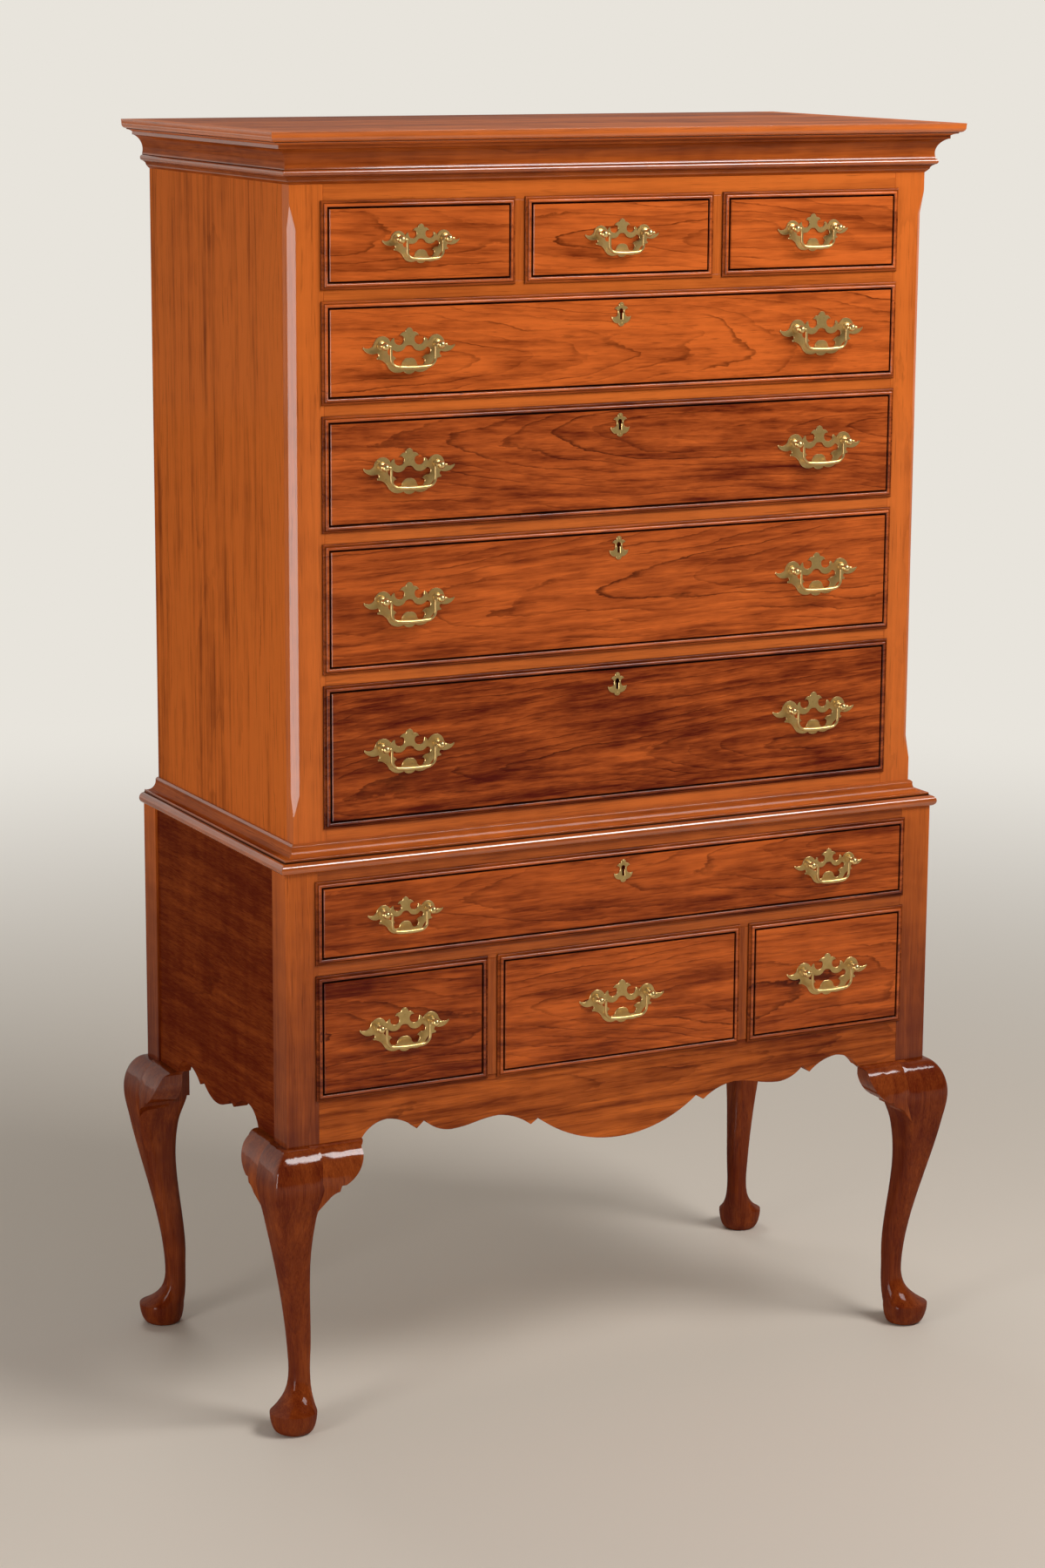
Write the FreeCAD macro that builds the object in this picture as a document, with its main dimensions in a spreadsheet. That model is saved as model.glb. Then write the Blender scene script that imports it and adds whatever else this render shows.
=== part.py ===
import FreeCAD, Part
import Sketcher
import math
import os
import re

# Highboy: a five-row upper case on a two-row lower case with cabriole legs.
# Millimetres. X to the right, Y to the back, Z up. The origin is on the floor
# under the middle of the case, so the front faces -Y.

doc = FreeCAD.newDocument("highboy")

# ---------------------------------------------------------------- sizes

SIZES = {
    # the two cases
    "upper_width": 914.4,
    "waist_ledge": 21.8,
    "lower_depth": 481.7,
    "board_thick": 20.0,
    "panel_recess": 3.0,
    "post_width": 44.7,
    "post_depth": 41.0,
    "stile_width": 45.3,
    "stile_thick": 22.0,
    "rail_thick": 22.0,
    "blade_thick": 21.6,
    "blade_depth": 75.0,
    "upper_divider": 142.8,
    "lower_divider": 188.3,
    "back_thick": 10.0,
    "back_rabbet": 10.0,
    "back_boards": 5,
    "lower_back_thick": 15.0,
    "lower_back_inset": 5.0,
    "bottom_thick": 18.0,
    # heights of the drawer openings and of the rails between them
    "apron_rail": 447.8,
    "bottom_row": 156.6,
    "lower_long_row": 101.0,
    "lower_top_rail": 23.0,
    "upper_bottom_rail": 46.2,
    "fifth_row": 175.7,
    "fourth_row": 157.0,
    "third_row": 137.4,
    "second_row": 119.5,
    "top_row": 100.7,
    "upper_top_rail": 72.3,
    # runners that carry the drawers
    "runner_thick": 20.0,
    "runner_reach": 24.0,
    "guide_rise": 14.0,
    # chamfered front corners of the upper case
    "chamfer_leg": 10.0,
    "chamfer_low": 838.0,
    "chamfer_high": 1543.0,
    "tongue_length": 34.0,
    # top board with its moulded cap, and the cornice under it
    "cap_thick": 16.0,
    "cap_reach": 38.9,
    "cap_width": 28.0,
    "cap_edge_drop": 5.0,
    "cap_under_reach": 24.0,
    "cornice_height": 48.6,
    "cornice_fillet": 4.4,
    "cornice_top_reach": 23.6,
    "cove_foot_reach": 10.2,
    "bead_size": 7.5,
    "bead_reach": 13.0,
    "cornice_foot": 10.6,
    # waist moulding
    "waist_rise": 27.0,
    "waist_lap": 6.7,
    "waist_nose": 6.9,
    "waist_fillet": 3.5,
    # drawers
    "lip_overlap": 4.0,
    "lip_gap": 0.3,
    "lip_thick": 2.6,
    "front_proud": 5.4,
    "front_core": 16.0,
    "fillet_band": 3.6,
    "bead_band": 4.6,
    "quirk_width": 2.4,
    "quirk_floor": 3.4,
    "bead_slope": 1.6,
    "side_clear": 1.5,
    "top_clear": 2.5,
    "drawer_side": 11.0,
    "drawer_bottom": 7.0,
    "bottom_rise": 8.0,
    "groove_deep": 5.0,
    "back_drop": 8.0,
    "tail_length": 10.0,
    "tail_root": 18.0,
    "tail_tip": 26.0,
    "drawer_length": 430.0,
    "drawer_travel": 300.0,
    # cabriole legs
    "knee_top": 386.8,
    "knee_level": 333.0,
    "knee_bulge": 29.4,
    "knee_spare": 0.6,
    "calf_level": 250.0,
    "calf_out": 15.0,
    "calf_in": 31.0,
    "shin_level": 158.0,
    "shin_out": -3.4,
    "shin_in": 37.4,
    "ankle_level": 84.0,
    "ankle_radius": 14.2,
    "ankle_inset": 25.8,
    "pad_level": 28.5,
    "pad_radius": 30.9,
    "pad_inset": 10.7,
    "sole_radius": 19.5,
    "sole_inset": 12.5,
    # knee blocks, measured from the post
    "block_length": 60.0,
    "block_undercut": 7.0,
    "block_nib": 6.0,
    "block_step": 15.0,
    "block_hollow": 6.5,
    "block_scroll": 25.0,
    "block_scroll_rise": 4.0,
    "block_notch": 16.0,
    "block_notch_drop": 3.5,
    "block_foot": 12.0,
    "block_depth": 13.0,
    # front apron: places from the middle, levels from the floor
    "apron_thick": 20.0,
    "lobe_low": 337.5,
    "lobe_half": 119.4,
    "lobe_shoulder": 379.3,
    "first_cusp": 130.3,
    "first_cusp_low": 372.0,
    "small_arch": 178.0,
    "small_arch_top": 391.0,
    "wave": 246.0,
    "wave_low": 381.2,
    "wave_end": 285.0,
    "wave_shoulder": 398.6,
    "second_cusp": 296.3,
    "second_cusp_low": 388.7,
    "large_arch": 338.0,
    "large_arch_top": 407.5,
    # side aprons: places from the middle of the side
    "side_lobe_low": 381.5,
    "side_lobe_half": 46.0,
    "side_shoulder": 398.6,
    "side_cusp": 58.0,
    "side_cusp_low": 391.5,
    "side_arch": 101.0,
    "side_arch_top": 409.7,
    # pulls: the large pattern; the small one is the same to a scale
    "pull_spacing": 76.8,
    "small_scale": 0.84,
    "long_pull_place": 299.0,
    "lower_pull_place": 315.0,
    "pull_rise": 7.4,
    "plate_thick": 1.6,
    "ball_radius": 5.2,
    "ball_standoff": 13.5,
    "shank_radius": 2.2,
    "shank_clear": 0.1,
    "collar_radius": 6.0,
    "nut_radius": 6.0,
    "nut_thick": 3.0,
    "pin_radius": 1.9,
    "pin_clear": 0.06,
    "tip_length": 2.2,
    "bail_drop": 26.0,
    "bail_bend": 2.6,
    "bail_corner": 11.0,
    "grip_radius": 2.7,
    "grip_length": 30.0,
    # escutcheons
    "keyhole_radius": 3.2,
    "key_slot_half": 1.8,
    "key_slot_drop": 6.5,
    "keyhole_rise": 4.2,
    "keyhole_depth": 9.0,
    "escutcheon_drop": 24.8,
}

sheet = doc.addObject("Spreadsheet::Sheet", "size")
for row, (alias, value) in enumerate(SIZES.items(), start=1):
    sheet.set("A%d" % row, alias)
    sheet.set("B%d" % row, str(value))
    sheet.setAlias("B%d" % row, alias)
doc.recompute()


def bound(text):
    """The expression with every alias spelled as a cell of the sheet."""
    return re.sub(r"[a-z_]+", lambda word: "size." + word.group(0), text)


def value(text):
    """What an expression on the sheet comes to, in millimetres."""
    return float(sheet.evalExpression(bound(text)))


# ---------------------------------------------------------------- planes and levels

UPPER_FRONT = "(waist_ledge - lower_depth / 2)"
LOWER_FRONT = "(-lower_depth / 2)"
CASE_BACK = "(lower_depth / 2)"
UPPER_SIDE = "(upper_width / 2)"
LOWER_SIDE = "(upper_width / 2 + waist_ledge)"
UPPER_OPENING = "(upper_width / 2 - stile_width)"
LOWER_OPENING = "(upper_width / 2 + waist_ledge - post_width)"
UPPER_INSIDE = "(upper_width / 2 - board_thick)"
LOWER_INSIDE = "(upper_width / 2 + waist_ledge - panel_recess - board_thick)"
LOWER_LONG_FLOOR = "(apron_rail + bottom_row + blade_thick)"
LOWER_RAIL = "(" + LOWER_LONG_FLOOR + " + lower_long_row)"
LOWER_TOP = "(" + LOWER_RAIL + " + lower_top_rail)"
FIFTH_FLOOR = "(" + LOWER_TOP + " + upper_bottom_rail)"
FOURTH_FLOOR = "(" + FIFTH_FLOOR + " + fifth_row + blade_thick)"
THIRD_FLOOR = "(" + FOURTH_FLOOR + " + fourth_row + blade_thick)"
SECOND_FLOOR = "(" + THIRD_FLOOR + " + third_row + blade_thick)"
TOP_FLOOR = "(" + SECOND_FLOOR + " + second_row + blade_thick)"
TOP_RAIL = "(" + TOP_FLOOR + " + top_row)"
CASE_TOP = "(" + TOP_RAIL + " + upper_top_rail)"


# ---------------------------------------------------------------- building blocks

def box(name, left, right, front, back, low, high):
    """A board between six planes, each given as an expression."""
    piece = doc.addObject("Part::Box", name)
    spans = {"Length": (left, right), "Width": (front, back), "Height": (low, high)}
    for side, (start, end) in spans.items():
        piece.setExpression(side, bound("%s - (%s)" % (end, start)))
    for axis, start in zip("xyz", (left, front, low)):
        piece.setExpression("Placement.Base." + axis, bound(start))
    return piece


def cylinder(name, x, y, z, radius, length):
    """A round bar or bore that runs back from its front centre."""
    piece = doc.addObject("Part::Cylinder", name)
    piece.Placement.Rotation = FreeCAD.Rotation(FreeCAD.Vector(1, 0, 0), -90)
    piece.setExpression("Radius", bound(radius))
    piece.setExpression("Height", bound(length))
    for axis, place in zip("xyz", (x, y, z)):
        piece.setExpression("Placement.Base." + axis, bound(place))
    return piece


def joined(name, pieces):
    """One solid made of several."""
    piece = doc.addObject("Part::MultiFuse", name)
    piece.Shapes = pieces
    return piece


def cut(name, base, tool):
    """The base less the tool."""
    piece = doc.addObject("Part::Cut", name)
    piece.Base = base
    piece.Tool = tool
    return piece


def carved(name, shape):
    """A piece whose curved form is set by Part's own functions."""
    piece = doc.addObject("Part::Feature", name)
    piece.Shape = shape
    return piece


nodes = []


def node(label, pieces):
    """A named sub-part: one piece, or like pieces that stay separate solids."""
    if len(pieces) == 1:
        part = pieces[0]
    else:
        part = doc.addObject("Part::Compound", label)
        part.Links = pieces
    part.Label = label
    nodes.append(part)
    return part


def vec(x, y, z):
    return FreeCAD.Vector(x, y, z)


def outline(start, runs, place):
    """A closed wire from a start point and runs.

    A run is an end point, or a point that the arc passes and its end point.
    place turns a flat point into a point in space.
    """
    edges = []
    here = start
    for run in runs:
        if len(run) == 2:
            through, end = run
            edges.append(Part.Arc(place(here), place(through), place(end)).toShape())
        else:
            end = run[0]
            edges.append(Part.LineSegment(place(here), place(end)).toShape())
        here = end
    return Part.Wire(edges)


def mirrored(runs, start):
    """The same outline on the other side of the middle line, run backwards."""
    points = [start]
    throughs = []
    for run in runs:
        throughs.append(run[0] if len(run) == 2 else None)
        points.append(run[-1])
    back = []
    for index in range(len(runs) - 1, -1, -1):
        end = (-points[index][0], points[index][1])
        through = throughs[index]
        if through is None:
            back.append((end,))
        else:
            back.append(((-through[0], through[1]), end))
    return back


def slab(wires, depth):
    """A flat piece: the first wire is its outline and the others are holes."""
    face = Part.Face(wires[0])
    for hole in wires[1:]:
        face = face.cut(Part.Face(hole))
    return face.extrude(depth)


# ---------------------------------------------------------------- upper case

def upper_sides():
    """A side board each way, rabbeted at the back for the back boards."""
    front = UPPER_FRONT + " + stile_thick"
    for label, outer, inner in (("left", "-" + UPPER_SIDE, "-" + UPPER_INSIDE),
                                ("right", UPPER_INSIDE, UPPER_SIDE)):
        board = box("side_board_" + label, outer, inner, front, CASE_BACK, LOWER_TOP, CASE_TOP)
        if label == "left":
            rabbet = (inner + " - back_rabbet", inner + " + back_rabbet")
        else:
            rabbet = (outer + " - back_rabbet", outer + " + back_rabbet")
        groove = box("side_rabbet_" + label, rabbet[0], rabbet[1], CASE_BACK + " - back_thick",
                     CASE_BACK + " + back_thick", LOWER_TOP, CASE_TOP)
        node("upper_side_" + label, [cut("rabbeted_side_" + label, board, groove)])


def stile(sign):
    """A front corner stile with a chamfer that dies out in a lamb's tongue."""
    wide = value("stile_width")
    thick = value("stile_thick")
    low = value(LOWER_TOP)
    high = value(CASE_TOP)
    edge = value(UPPER_SIDE)
    front = value(UPPER_FRONT)
    leg = value("chamfer_leg")
    tongue = value("tongue_length")
    board = Part.makeBox(wide, thick, high - low, vec(edge - wide, front, low))

    def corner(level, size):
        points = [vec(edge + 1, front - 1, level), vec(edge + 1, front + size, level),
                  vec(edge - size, front - 1, level)]
        return Part.makePolygon(points + points[:1])

    start = value("chamfer_low")
    end = value("chamfer_high")
    tip = 0.1
    middle = Part.makeLoft([corner(start, leg), corner(end, leg)], True, True)
    lower_tongue = Part.makeLoft([corner(start - tongue, tip), corner(start, leg)], True, True)
    upper_tongue = Part.makeLoft([corner(end, leg), corner(end + tongue, tip)], True, True)
    shape = board.cut(middle.fuse([lower_tongue, upper_tongue]))
    if sign < 0:
        shape = shape.mirror(vec(0, 0, 0), vec(1, 0, 0))
    return shape


def upper_stiles():
    """The two front corner stiles."""
    node("upper_stiles", [carved("stile_left", stile(-1)), carved("stile_right", stile(1))])


def upper_rails():
    """Top and bottom rail, the blades between the drawers, and two dividers."""
    thick = UPPER_FRONT + " + rail_thick"
    deep = UPPER_FRONT + " + blade_depth"
    wide = ("-" + UPPER_OPENING, UPPER_OPENING)
    rails = [box("upper_bottom_rail_board", *wide, UPPER_FRONT, thick, LOWER_TOP, FIFTH_FLOOR),
             box("upper_top_rail_board", *wide, UPPER_FRONT, thick, TOP_RAIL, CASE_TOP)]
    for name, floor in (("fourth", FOURTH_FLOOR), ("third", THIRD_FLOOR),
                        ("second", SECOND_FLOOR), ("top", TOP_FLOOR)):
        rails.append(box("blade_under_" + name, *wide, UPPER_FRONT, deep,
                         floor + " - blade_thick", floor))
    for name, middle in (("left", "-upper_divider"), ("right", "upper_divider")):
        rails.append(box("upper_divider_" + name, middle + " - blade_thick / 2",
                         middle + " + blade_thick / 2", UPPER_FRONT, deep, TOP_FLOOR, TOP_RAIL))
    node("upper_rails", rails)


def side_runner(name, sign, inside, opening, front, back, floor):
    """A runner and its guide along one side of a case."""
    inner = "%s - runner_reach" % opening
    if sign < 0:
        runner_x = ("-" + inside, "-(%s)" % inner)
        guide_x = ("-" + inside, "-" + opening)
    else:
        runner_x = (inner, inside)
        guide_x = (opening, inside)
    runner = box(name + "_runner", *runner_x, front, back, floor + " - runner_thick", floor)
    guide = box(name + "_guide", *guide_x, front, back, floor, floor + " + guide_rise")
    return [runner, guide]


def divider_runner(name, middle, front, back, floor):
    """A runner under two neighbouring drawers, with the guide between them."""
    runner = box(name + "_runner", middle + " - blade_thick / 2 - runner_reach",
                 middle + " + blade_thick / 2 + runner_reach", front, back,
                 floor + " - runner_thick", floor)
    guide = box(name + "_guide", middle + " - blade_thick / 2", middle + " + blade_thick / 2",
                front, back, floor, floor + " + guide_rise")
    return [runner, guide]


def upper_runners():
    """Runners and guides behind the blades of the upper case."""
    back = CASE_BACK + " - back_thick"
    runners = []
    for name, floor in (("fifth", FIFTH_FLOOR), ("fourth", FOURTH_FLOOR), ("third", THIRD_FLOOR),
                        ("second", SECOND_FLOOR), ("top", TOP_FLOOR)):
        front = UPPER_FRONT + " + " + ("rail_thick" if name == "fifth" else "blade_depth")
        for side, sign in (("left", -1), ("right", 1)):
            runners += side_runner(name + "_" + side, sign, UPPER_INSIDE, UPPER_OPENING,
                                   front, back, floor)
    front = UPPER_FRONT + " + blade_depth"
    for side, middle in (("left", "-upper_divider"), ("right", "upper_divider")):
        runners += divider_runner("top_middle_" + side, middle, front, back, TOP_FLOOR)
    node("upper_runners", runners)


def upper_bottom_board():
    """The floor of the upper case, which rests on the lower case."""
    front = UPPER_FRONT + " + rail_thick"
    node("upper_bottom_board", [box("upper_floor", "-" + UPPER_INSIDE, UPPER_INSIDE, front,
                                    CASE_BACK + " - back_thick", LOWER_TOP,
                                    LOWER_TOP + " + bottom_thick")])


def upper_back_boards():
    """Wide boards laid across the back, let into the rabbets of the sides."""
    half = UPPER_INSIDE + " + back_rabbet"
    boards = []
    count = int(value("back_boards"))
    for index in range(count):
        step = "(%s - %s) / back_boards" % (CASE_TOP, LOWER_TOP)
        low = "%s + %d * %s" % (LOWER_TOP, index, step)
        boards.append(box("upper_back_board_%d" % (index + 1), "-(%s)" % half, half,
                          CASE_BACK + " - back_thick", CASE_BACK, low, low + " + " + step))
    node("upper_back_boards", boards)


# ---------------------------------------------------------------- top and mouldings

def top_board():
    """The top board, padded from a rectangle and set within its moulded cap."""
    body = doc.addObject("PartDesign::Body", "top_board_body")
    sketch = body.newObject("Sketcher::SketchObject", "top_board_sketch")
    plane = [item for item in body.Origin.OriginFeatures if item.Role == "XY_Plane"][0]
    sketch.AttachmentSupport = [(plane, "")]
    sketch.MapMode = "FlatFace"
    half = value(UPPER_SIDE + " + cap_reach - cap_width")
    front = value(UPPER_FRONT + " - cap_reach + cap_width")
    back = value(CASE_BACK)
    corners = [vec(-half, front, 0), vec(half, front, 0), vec(half, back, 0), vec(-half, back, 0)]
    for index in range(4):
        sketch.addGeometry(Part.LineSegment(corners[index], corners[(index + 1) % 4]), False)
    for index in range(4):
        sketch.addConstraint(Sketcher.Constraint("Coincident", index, 2, (index + 1) % 4, 1))
    for index, kind in enumerate(("Horizontal", "Vertical", "Horizontal", "Vertical")):
        sketch.addConstraint(Sketcher.Constraint(kind, index))
    places = (("DistanceX", 0, 1, "-(%s + cap_reach - cap_width)" % UPPER_SIDE, -half),
              ("DistanceX", 1, 1, "%s + cap_reach - cap_width" % UPPER_SIDE, half),
              ("DistanceY", 0, 1, "%s - cap_reach + cap_width" % UPPER_FRONT, front),
              ("DistanceY", 2, 1, CASE_BACK, back))
    for kind, edge, end, text, start in places:
        number = sketch.addConstraint(Sketcher.Constraint(kind, -1, 1, edge, end, start))
        sketch.setExpression("Constraints[%d]" % number, bound(text))
    pad = body.newObject("PartDesign::Pad", "top_board_pad")
    pad.Profile = sketch
    pad.setExpression("Length", bound("cap_thick"))
    sketch.Visibility = False
    body.setExpression("Placement.Base.z", bound(CASE_TOP))
    node("top_board", [body])


def moulding_lengths(name, start, runs, half, front, back):
    """Front and side lengths of a moulding, mitred at the two front corners.

    The profile is drawn as (reach, level), with reach measured out from the
    faces that the moulding is planted on.
    """
    reach = 100.0
    top = value(CASE_TOP) * 2
    profile = outline(start, runs, lambda p: vec(-half - reach, front - p[0], p[1]))
    front_bar = Part.Face(profile).extrude(vec(2 * (half + reach), 0, 0))
    profile = outline(start, runs, lambda p: vec(half + p[0], front - reach, p[1]))
    right_bar = Part.Face(profile).extrude(vec(0, back - front + reach, 0))

    def wedge(points):
        flat = [vec(x, y, 0) for x, y in points]
        return Part.Face(Part.makePolygon(flat + flat[:1])).extrude(vec(0, 0, top))

    keep_front = wedge([(-half - reach, front - reach), (half + reach, front - reach),
                        (half - reach, front + reach), (-half + reach, front + reach)])
    keep_right = wedge([(half + reach, front - reach), (half + reach, back),
                        (half - reach, back), (half - reach, front + reach)])
    front_length = front_bar.common(keep_front)
    right_length = right_bar.common(keep_right)
    left_length = right_length.mirror(vec(0, 0, 0), vec(1, 0, 0))
    node(name, [carved(name + "_front", front_length), carved(name + "_left", left_length),
                carved(name + "_right", right_length)])


def cornice_cap():
    """The moulded border of the top: a thumbnail edge, rounded underneath."""
    reach = value("cap_reach")
    inner = reach - value("cap_width")
    low = value(CASE_TOP)
    high = low + value("cap_thick")
    drop = value("cap_edge_drop")
    under = value("cap_under_reach")
    round_high = (high - drop - low) * 0.62
    step = reach - 7.0
    runs = [((reach, high),), ((reach - 0.6, high - drop),),
            ((reach - 1.8, high - drop - round_high * 0.66), (step, high - drop - round_high)),
            ((step - 0.8, low + 2.4),),
            (((step + under) / 2 - 0.6, low + 1.7), (under, low)), ((inner, low),),
            ((inner, high),)]
    moulding_lengths("cornice_cap", (inner, high), runs, value(UPPER_SIDE),
                     value(UPPER_FRONT), value(CASE_BACK))


def cornice_moulding():
    """Fillet, cove, astragal bead and a small ogee down to the case."""
    high = value(CASE_TOP)
    low = high - value("cornice_height")
    reach = value("cornice_top_reach")
    fillet = high - value("cornice_fillet")
    foot = low + value("cornice_foot")
    bead = foot + value("bead_size")
    bead_nose = value("bead_reach")
    cove = value("cove_foot_reach")
    neck = cove - 1.0
    step = 1.5
    runs = [((neck * 0.25, low + 2.2), (neck * 0.5, (low + foot) / 2 - 0.6)),
            ((neck * 0.75, foot - 1.8), (neck, foot - 0.6)), ((neck, foot),),
            ((bead_nose, (foot + bead) / 2), (neck, bead)), ((cove, bead + 0.6),),
            ((cove + (reach - step - cove) * 0.22, bead + (fillet - bead) * 0.72),
             (reach - step, fillet)),
            ((reach, fillet),), ((reach, high),), ((0, high),), ((0, low),)]
    moulding_lengths("cornice_moulding", (0, low), runs, value(UPPER_SIDE),
                     value(UPPER_FRONT), value(CASE_BACK))


def waist_moulding():
    """A cove, a fillet and a rounded nose that laps over the lower case."""
    seat = value(LOWER_TOP)
    high = seat + value("waist_rise")
    lap = seat - value("waist_lap")
    ledge = value("waist_ledge")
    nose = ledge + value("waist_nose")
    fillet_low = seat + (high - seat) * 0.3
    fillet_high = fillet_low + value("waist_fillet")
    shoulder = ledge - 1.5
    runs = [((2.0, high),), ((4.5, high - 2.6),),
            ((6.8, fillet_high + 3.6), (shoulder, fillet_high)), ((shoulder + 0.6, fillet_low),),
            ((shoulder + 1.6, fillet_low - 0.4),),
            ((nose, (fillet_low + lap) / 2 + 0.6), (ledge + 1.6, lap)), ((ledge, lap),),
            ((ledge, seat),), ((0, seat),), ((0, high),)]
    moulding_lengths("waist_moulding", (0, high), runs, value(UPPER_SIDE),
                     value(UPPER_FRONT), value(CASE_BACK))


# ---------------------------------------------------------------- legs

def spline_through(points):
    """A smooth function of height through a few (height, value) points."""
    curve = Part.BSplineCurve()
    curve.interpolate([vec(height, size, 0) for height, size in points])
    edge = curve.toShape()
    first = points[0][0]
    last = points[-1][0]

    def at(height):
        height = min(max(height, min(first, last)), max(first, last))
        line = Part.LineSegment(vec(height, -200, 0), vec(height, 200, 0)).toShape()
        return edge.distToShape(line)[1][0][0].y

    return at


def leg_section(level, out_x, in_x, out_y, in_y, power):
    """A rounded square across the leg: power 2 is round, more is squarer."""
    half_x = (out_x + in_x) / 2
    half_y = (out_y + in_y) / 2
    middle_x = (out_x - in_x) / 2
    middle_y = (out_y - in_y) / 2
    points = []
    steps = 48
    for step in range(steps):
        angle = 2 * math.pi * step / steps
        x = math.cos(angle)
        y = math.sin(angle)
        reach = (abs(x) ** power + abs(y) ** power) ** (-1 / power)
        points.append(vec(middle_x + half_x * reach * x, middle_y + half_y * reach * y, level))
    curve = Part.BSplineCurve()
    curve.interpolate(points, PeriodicFlag=True)
    return Part.Wire([curve.toShape()])


def knee_out(level):
    """How far the knee stands out from the post between its top and its widest."""
    rise = (level - value("knee_level")) / (value("knee_top") - value("knee_level"))
    return value("knee_bulge") * math.sqrt(max(0.0, 1 - rise * rise))


def cabriole():
    """One leg in its own corner: +X and +Y point outwards from the case."""
    knee = value("knee_level")
    calf = value("calf_level")
    shin = value("shin_level")
    ankle = value("ankle_level")
    pad = value("pad_level")
    post_x = value("post_width")
    post_y = value("post_depth")
    # the curved part is drawn a little past the post's inner faces and trimmed flush with them
    curve_x = value("post_width + knee_spare")
    curve_y = value("post_depth + knee_spare")
    radius = value("ankle_radius")
    inset = value("ankle_inset")
    outward = spline_through([(ankle, radius - inset), (shin, value("shin_out")),
                              (calf, value("calf_out")), (knee, value("knee_bulge"))])
    inward = spline_through([(ankle, radius + inset), (shin, value("shin_in")),
                             (calf, value("calf_in")), (knee, curve_x)])
    knee_power = 6.5
    corner_power = spline_through([(ankle, 2.0), (shin, 2.5), (calf, 4.0), (knee, knee_power)])
    # sole to the rim of the pad, which leans out a little
    foot_sections = []
    for share in (0.0, 0.12, 0.35, 0.7, 1.0):
        swell = math.sqrt(1 - (1 - share) ** 2)
        size = value("sole_radius") + (value("pad_radius") - value("sole_radius")) * swell
        back = value("sole_inset") + (value("pad_inset") - value("sole_inset")) * swell
        foot_sections.append((pad * share, size - back, size + back, size - back, size + back, 2.0))
    # from the rim the pad's top sweeps up into the ankle
    sections = []
    for share in (0.0, 0.07, 0.16, 0.3, 0.48, 0.72, 1.0):
        fall = (1 - share) ** 3.2
        size = radius + (value("pad_radius") - radius) * fall
        back = inset + (value("pad_inset") - inset) * fall
        level = pad + (ankle - pad) * share
        sections.append((level, size - back, size + back, size - back, size + back, 2.0))
    # ankle to knee
    count = 9
    for step in range(1, count + 1):
        level = ankle + (knee - ankle) * step / count
        out = outward(level)
        back = inward(level)
        sections.append((level, out, back, out, min(back, curve_y), corner_power(level)))
    # the knee's shoulder, back to the post
    for share in (0.3, 0.55, 0.75, 0.9, 0.975):
        level = knee + (value("knee_top") - knee) * share
        out = knee_out(level)
        sections.append((level, out, curve_x, out, curve_y, knee_power * (1 + share)))
    foot = Part.makeLoft([leg_section(*section) for section in foot_sections], True, False)
    curved = Part.makeLoft([leg_section(*section) for section in sections], True, False)
    reach = 2 * value("knee_bulge")
    room = Part.makeBox(post_x + reach, post_y + reach, value("knee_top"),
                        vec(-post_x, -post_y, 0))
    post = Part.makeBox(post_x, post_y, value(LOWER_TOP) - knee, vec(-post_x, -post_y, knee))
    return curved.common(room).fuse([foot, post]).removeSplitter()


def legs():
    """Four posts, each in one piece with its cabriole leg."""
    right_back = cabriole()
    x = value(LOWER_SIDE)
    y = value(CASE_BACK)
    right_back.translate(vec(x, y, 0))
    left_back = right_back.mirror(vec(0, 0, 0), vec(1, 0, 0))
    right_front = right_back.mirror(vec(0, 0, 0), vec(0, 1, 0))
    left_front = left_back.mirror(vec(0, 0, 0), vec(0, 1, 0))
    node("leg_front_left", [carved("front_left_leg", left_front)])
    node("leg_front_right", [carved("front_right_leg", right_front)])
    node("leg_back_left", [carved("back_left_leg", left_back)])
    node("leg_back_right", [carved("back_right_leg", right_back)])


def knee_block(length):
    """A block that carries the knee's curve inwards along a rail.

    Its own frame: x runs from the post towards the middle, y points out from
    the rail's face, z is the height above the floor.
    """
    top = value("knee_top")
    low = value("knee_level")
    undercut = length - value("block_undercut")
    scroll = value("block_scroll")
    scroll_level = low + value("block_scroll_rise")
    notch = value("block_notch")
    notch_level = low - value("block_notch_drop")
    foot = value("block_foot")
    depth = value("block_depth")
    bow = [vec(0, 0, top)]
    for share in (0.93, 0.75, 0.5, 0.25, 0.0):
        level = low + (top - low) * share
        bow.append(vec(0, knee_out(level), level))
    curve = Part.BSplineCurve()
    curve.interpolate(bow)
    under = low - foot - value("block_nib")
    corners = [bow[-1], vec(0, value("knee_bulge"), under), vec(0, -depth, under),
               vec(0, -depth, top), bow[0]]
    edges = [curve.toShape()]
    for start, end in zip(corners, corners[1:]):
        edges.append(Part.LineSegment(start, end).toShape())
    bar = Part.Face(Part.Wire(edges)).extrude(vec(length, 0, 0))
    nib = value("block_nib")
    step = top - value("block_step")
    hollow = ((undercut + scroll) / 2 + value("block_hollow"), (step + scroll_level) / 2)
    runs = [((length, top),), ((undercut, top - nib),), ((undercut, step),),
            (hollow, (scroll, scroll_level)), ((scroll - nib, scroll_level),),
            ((notch, notch_level),), ((notch / 2, low - foot / 2), (0, low - foot)), ((0, top),)]
    cutter = outline((0, top), runs, lambda p: vec(p[0], -2 * depth, p[1]))
    return bar.common(Part.Face(cutter).extrude(vec(0, 4 * depth + value("knee_bulge"), 0)))


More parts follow.
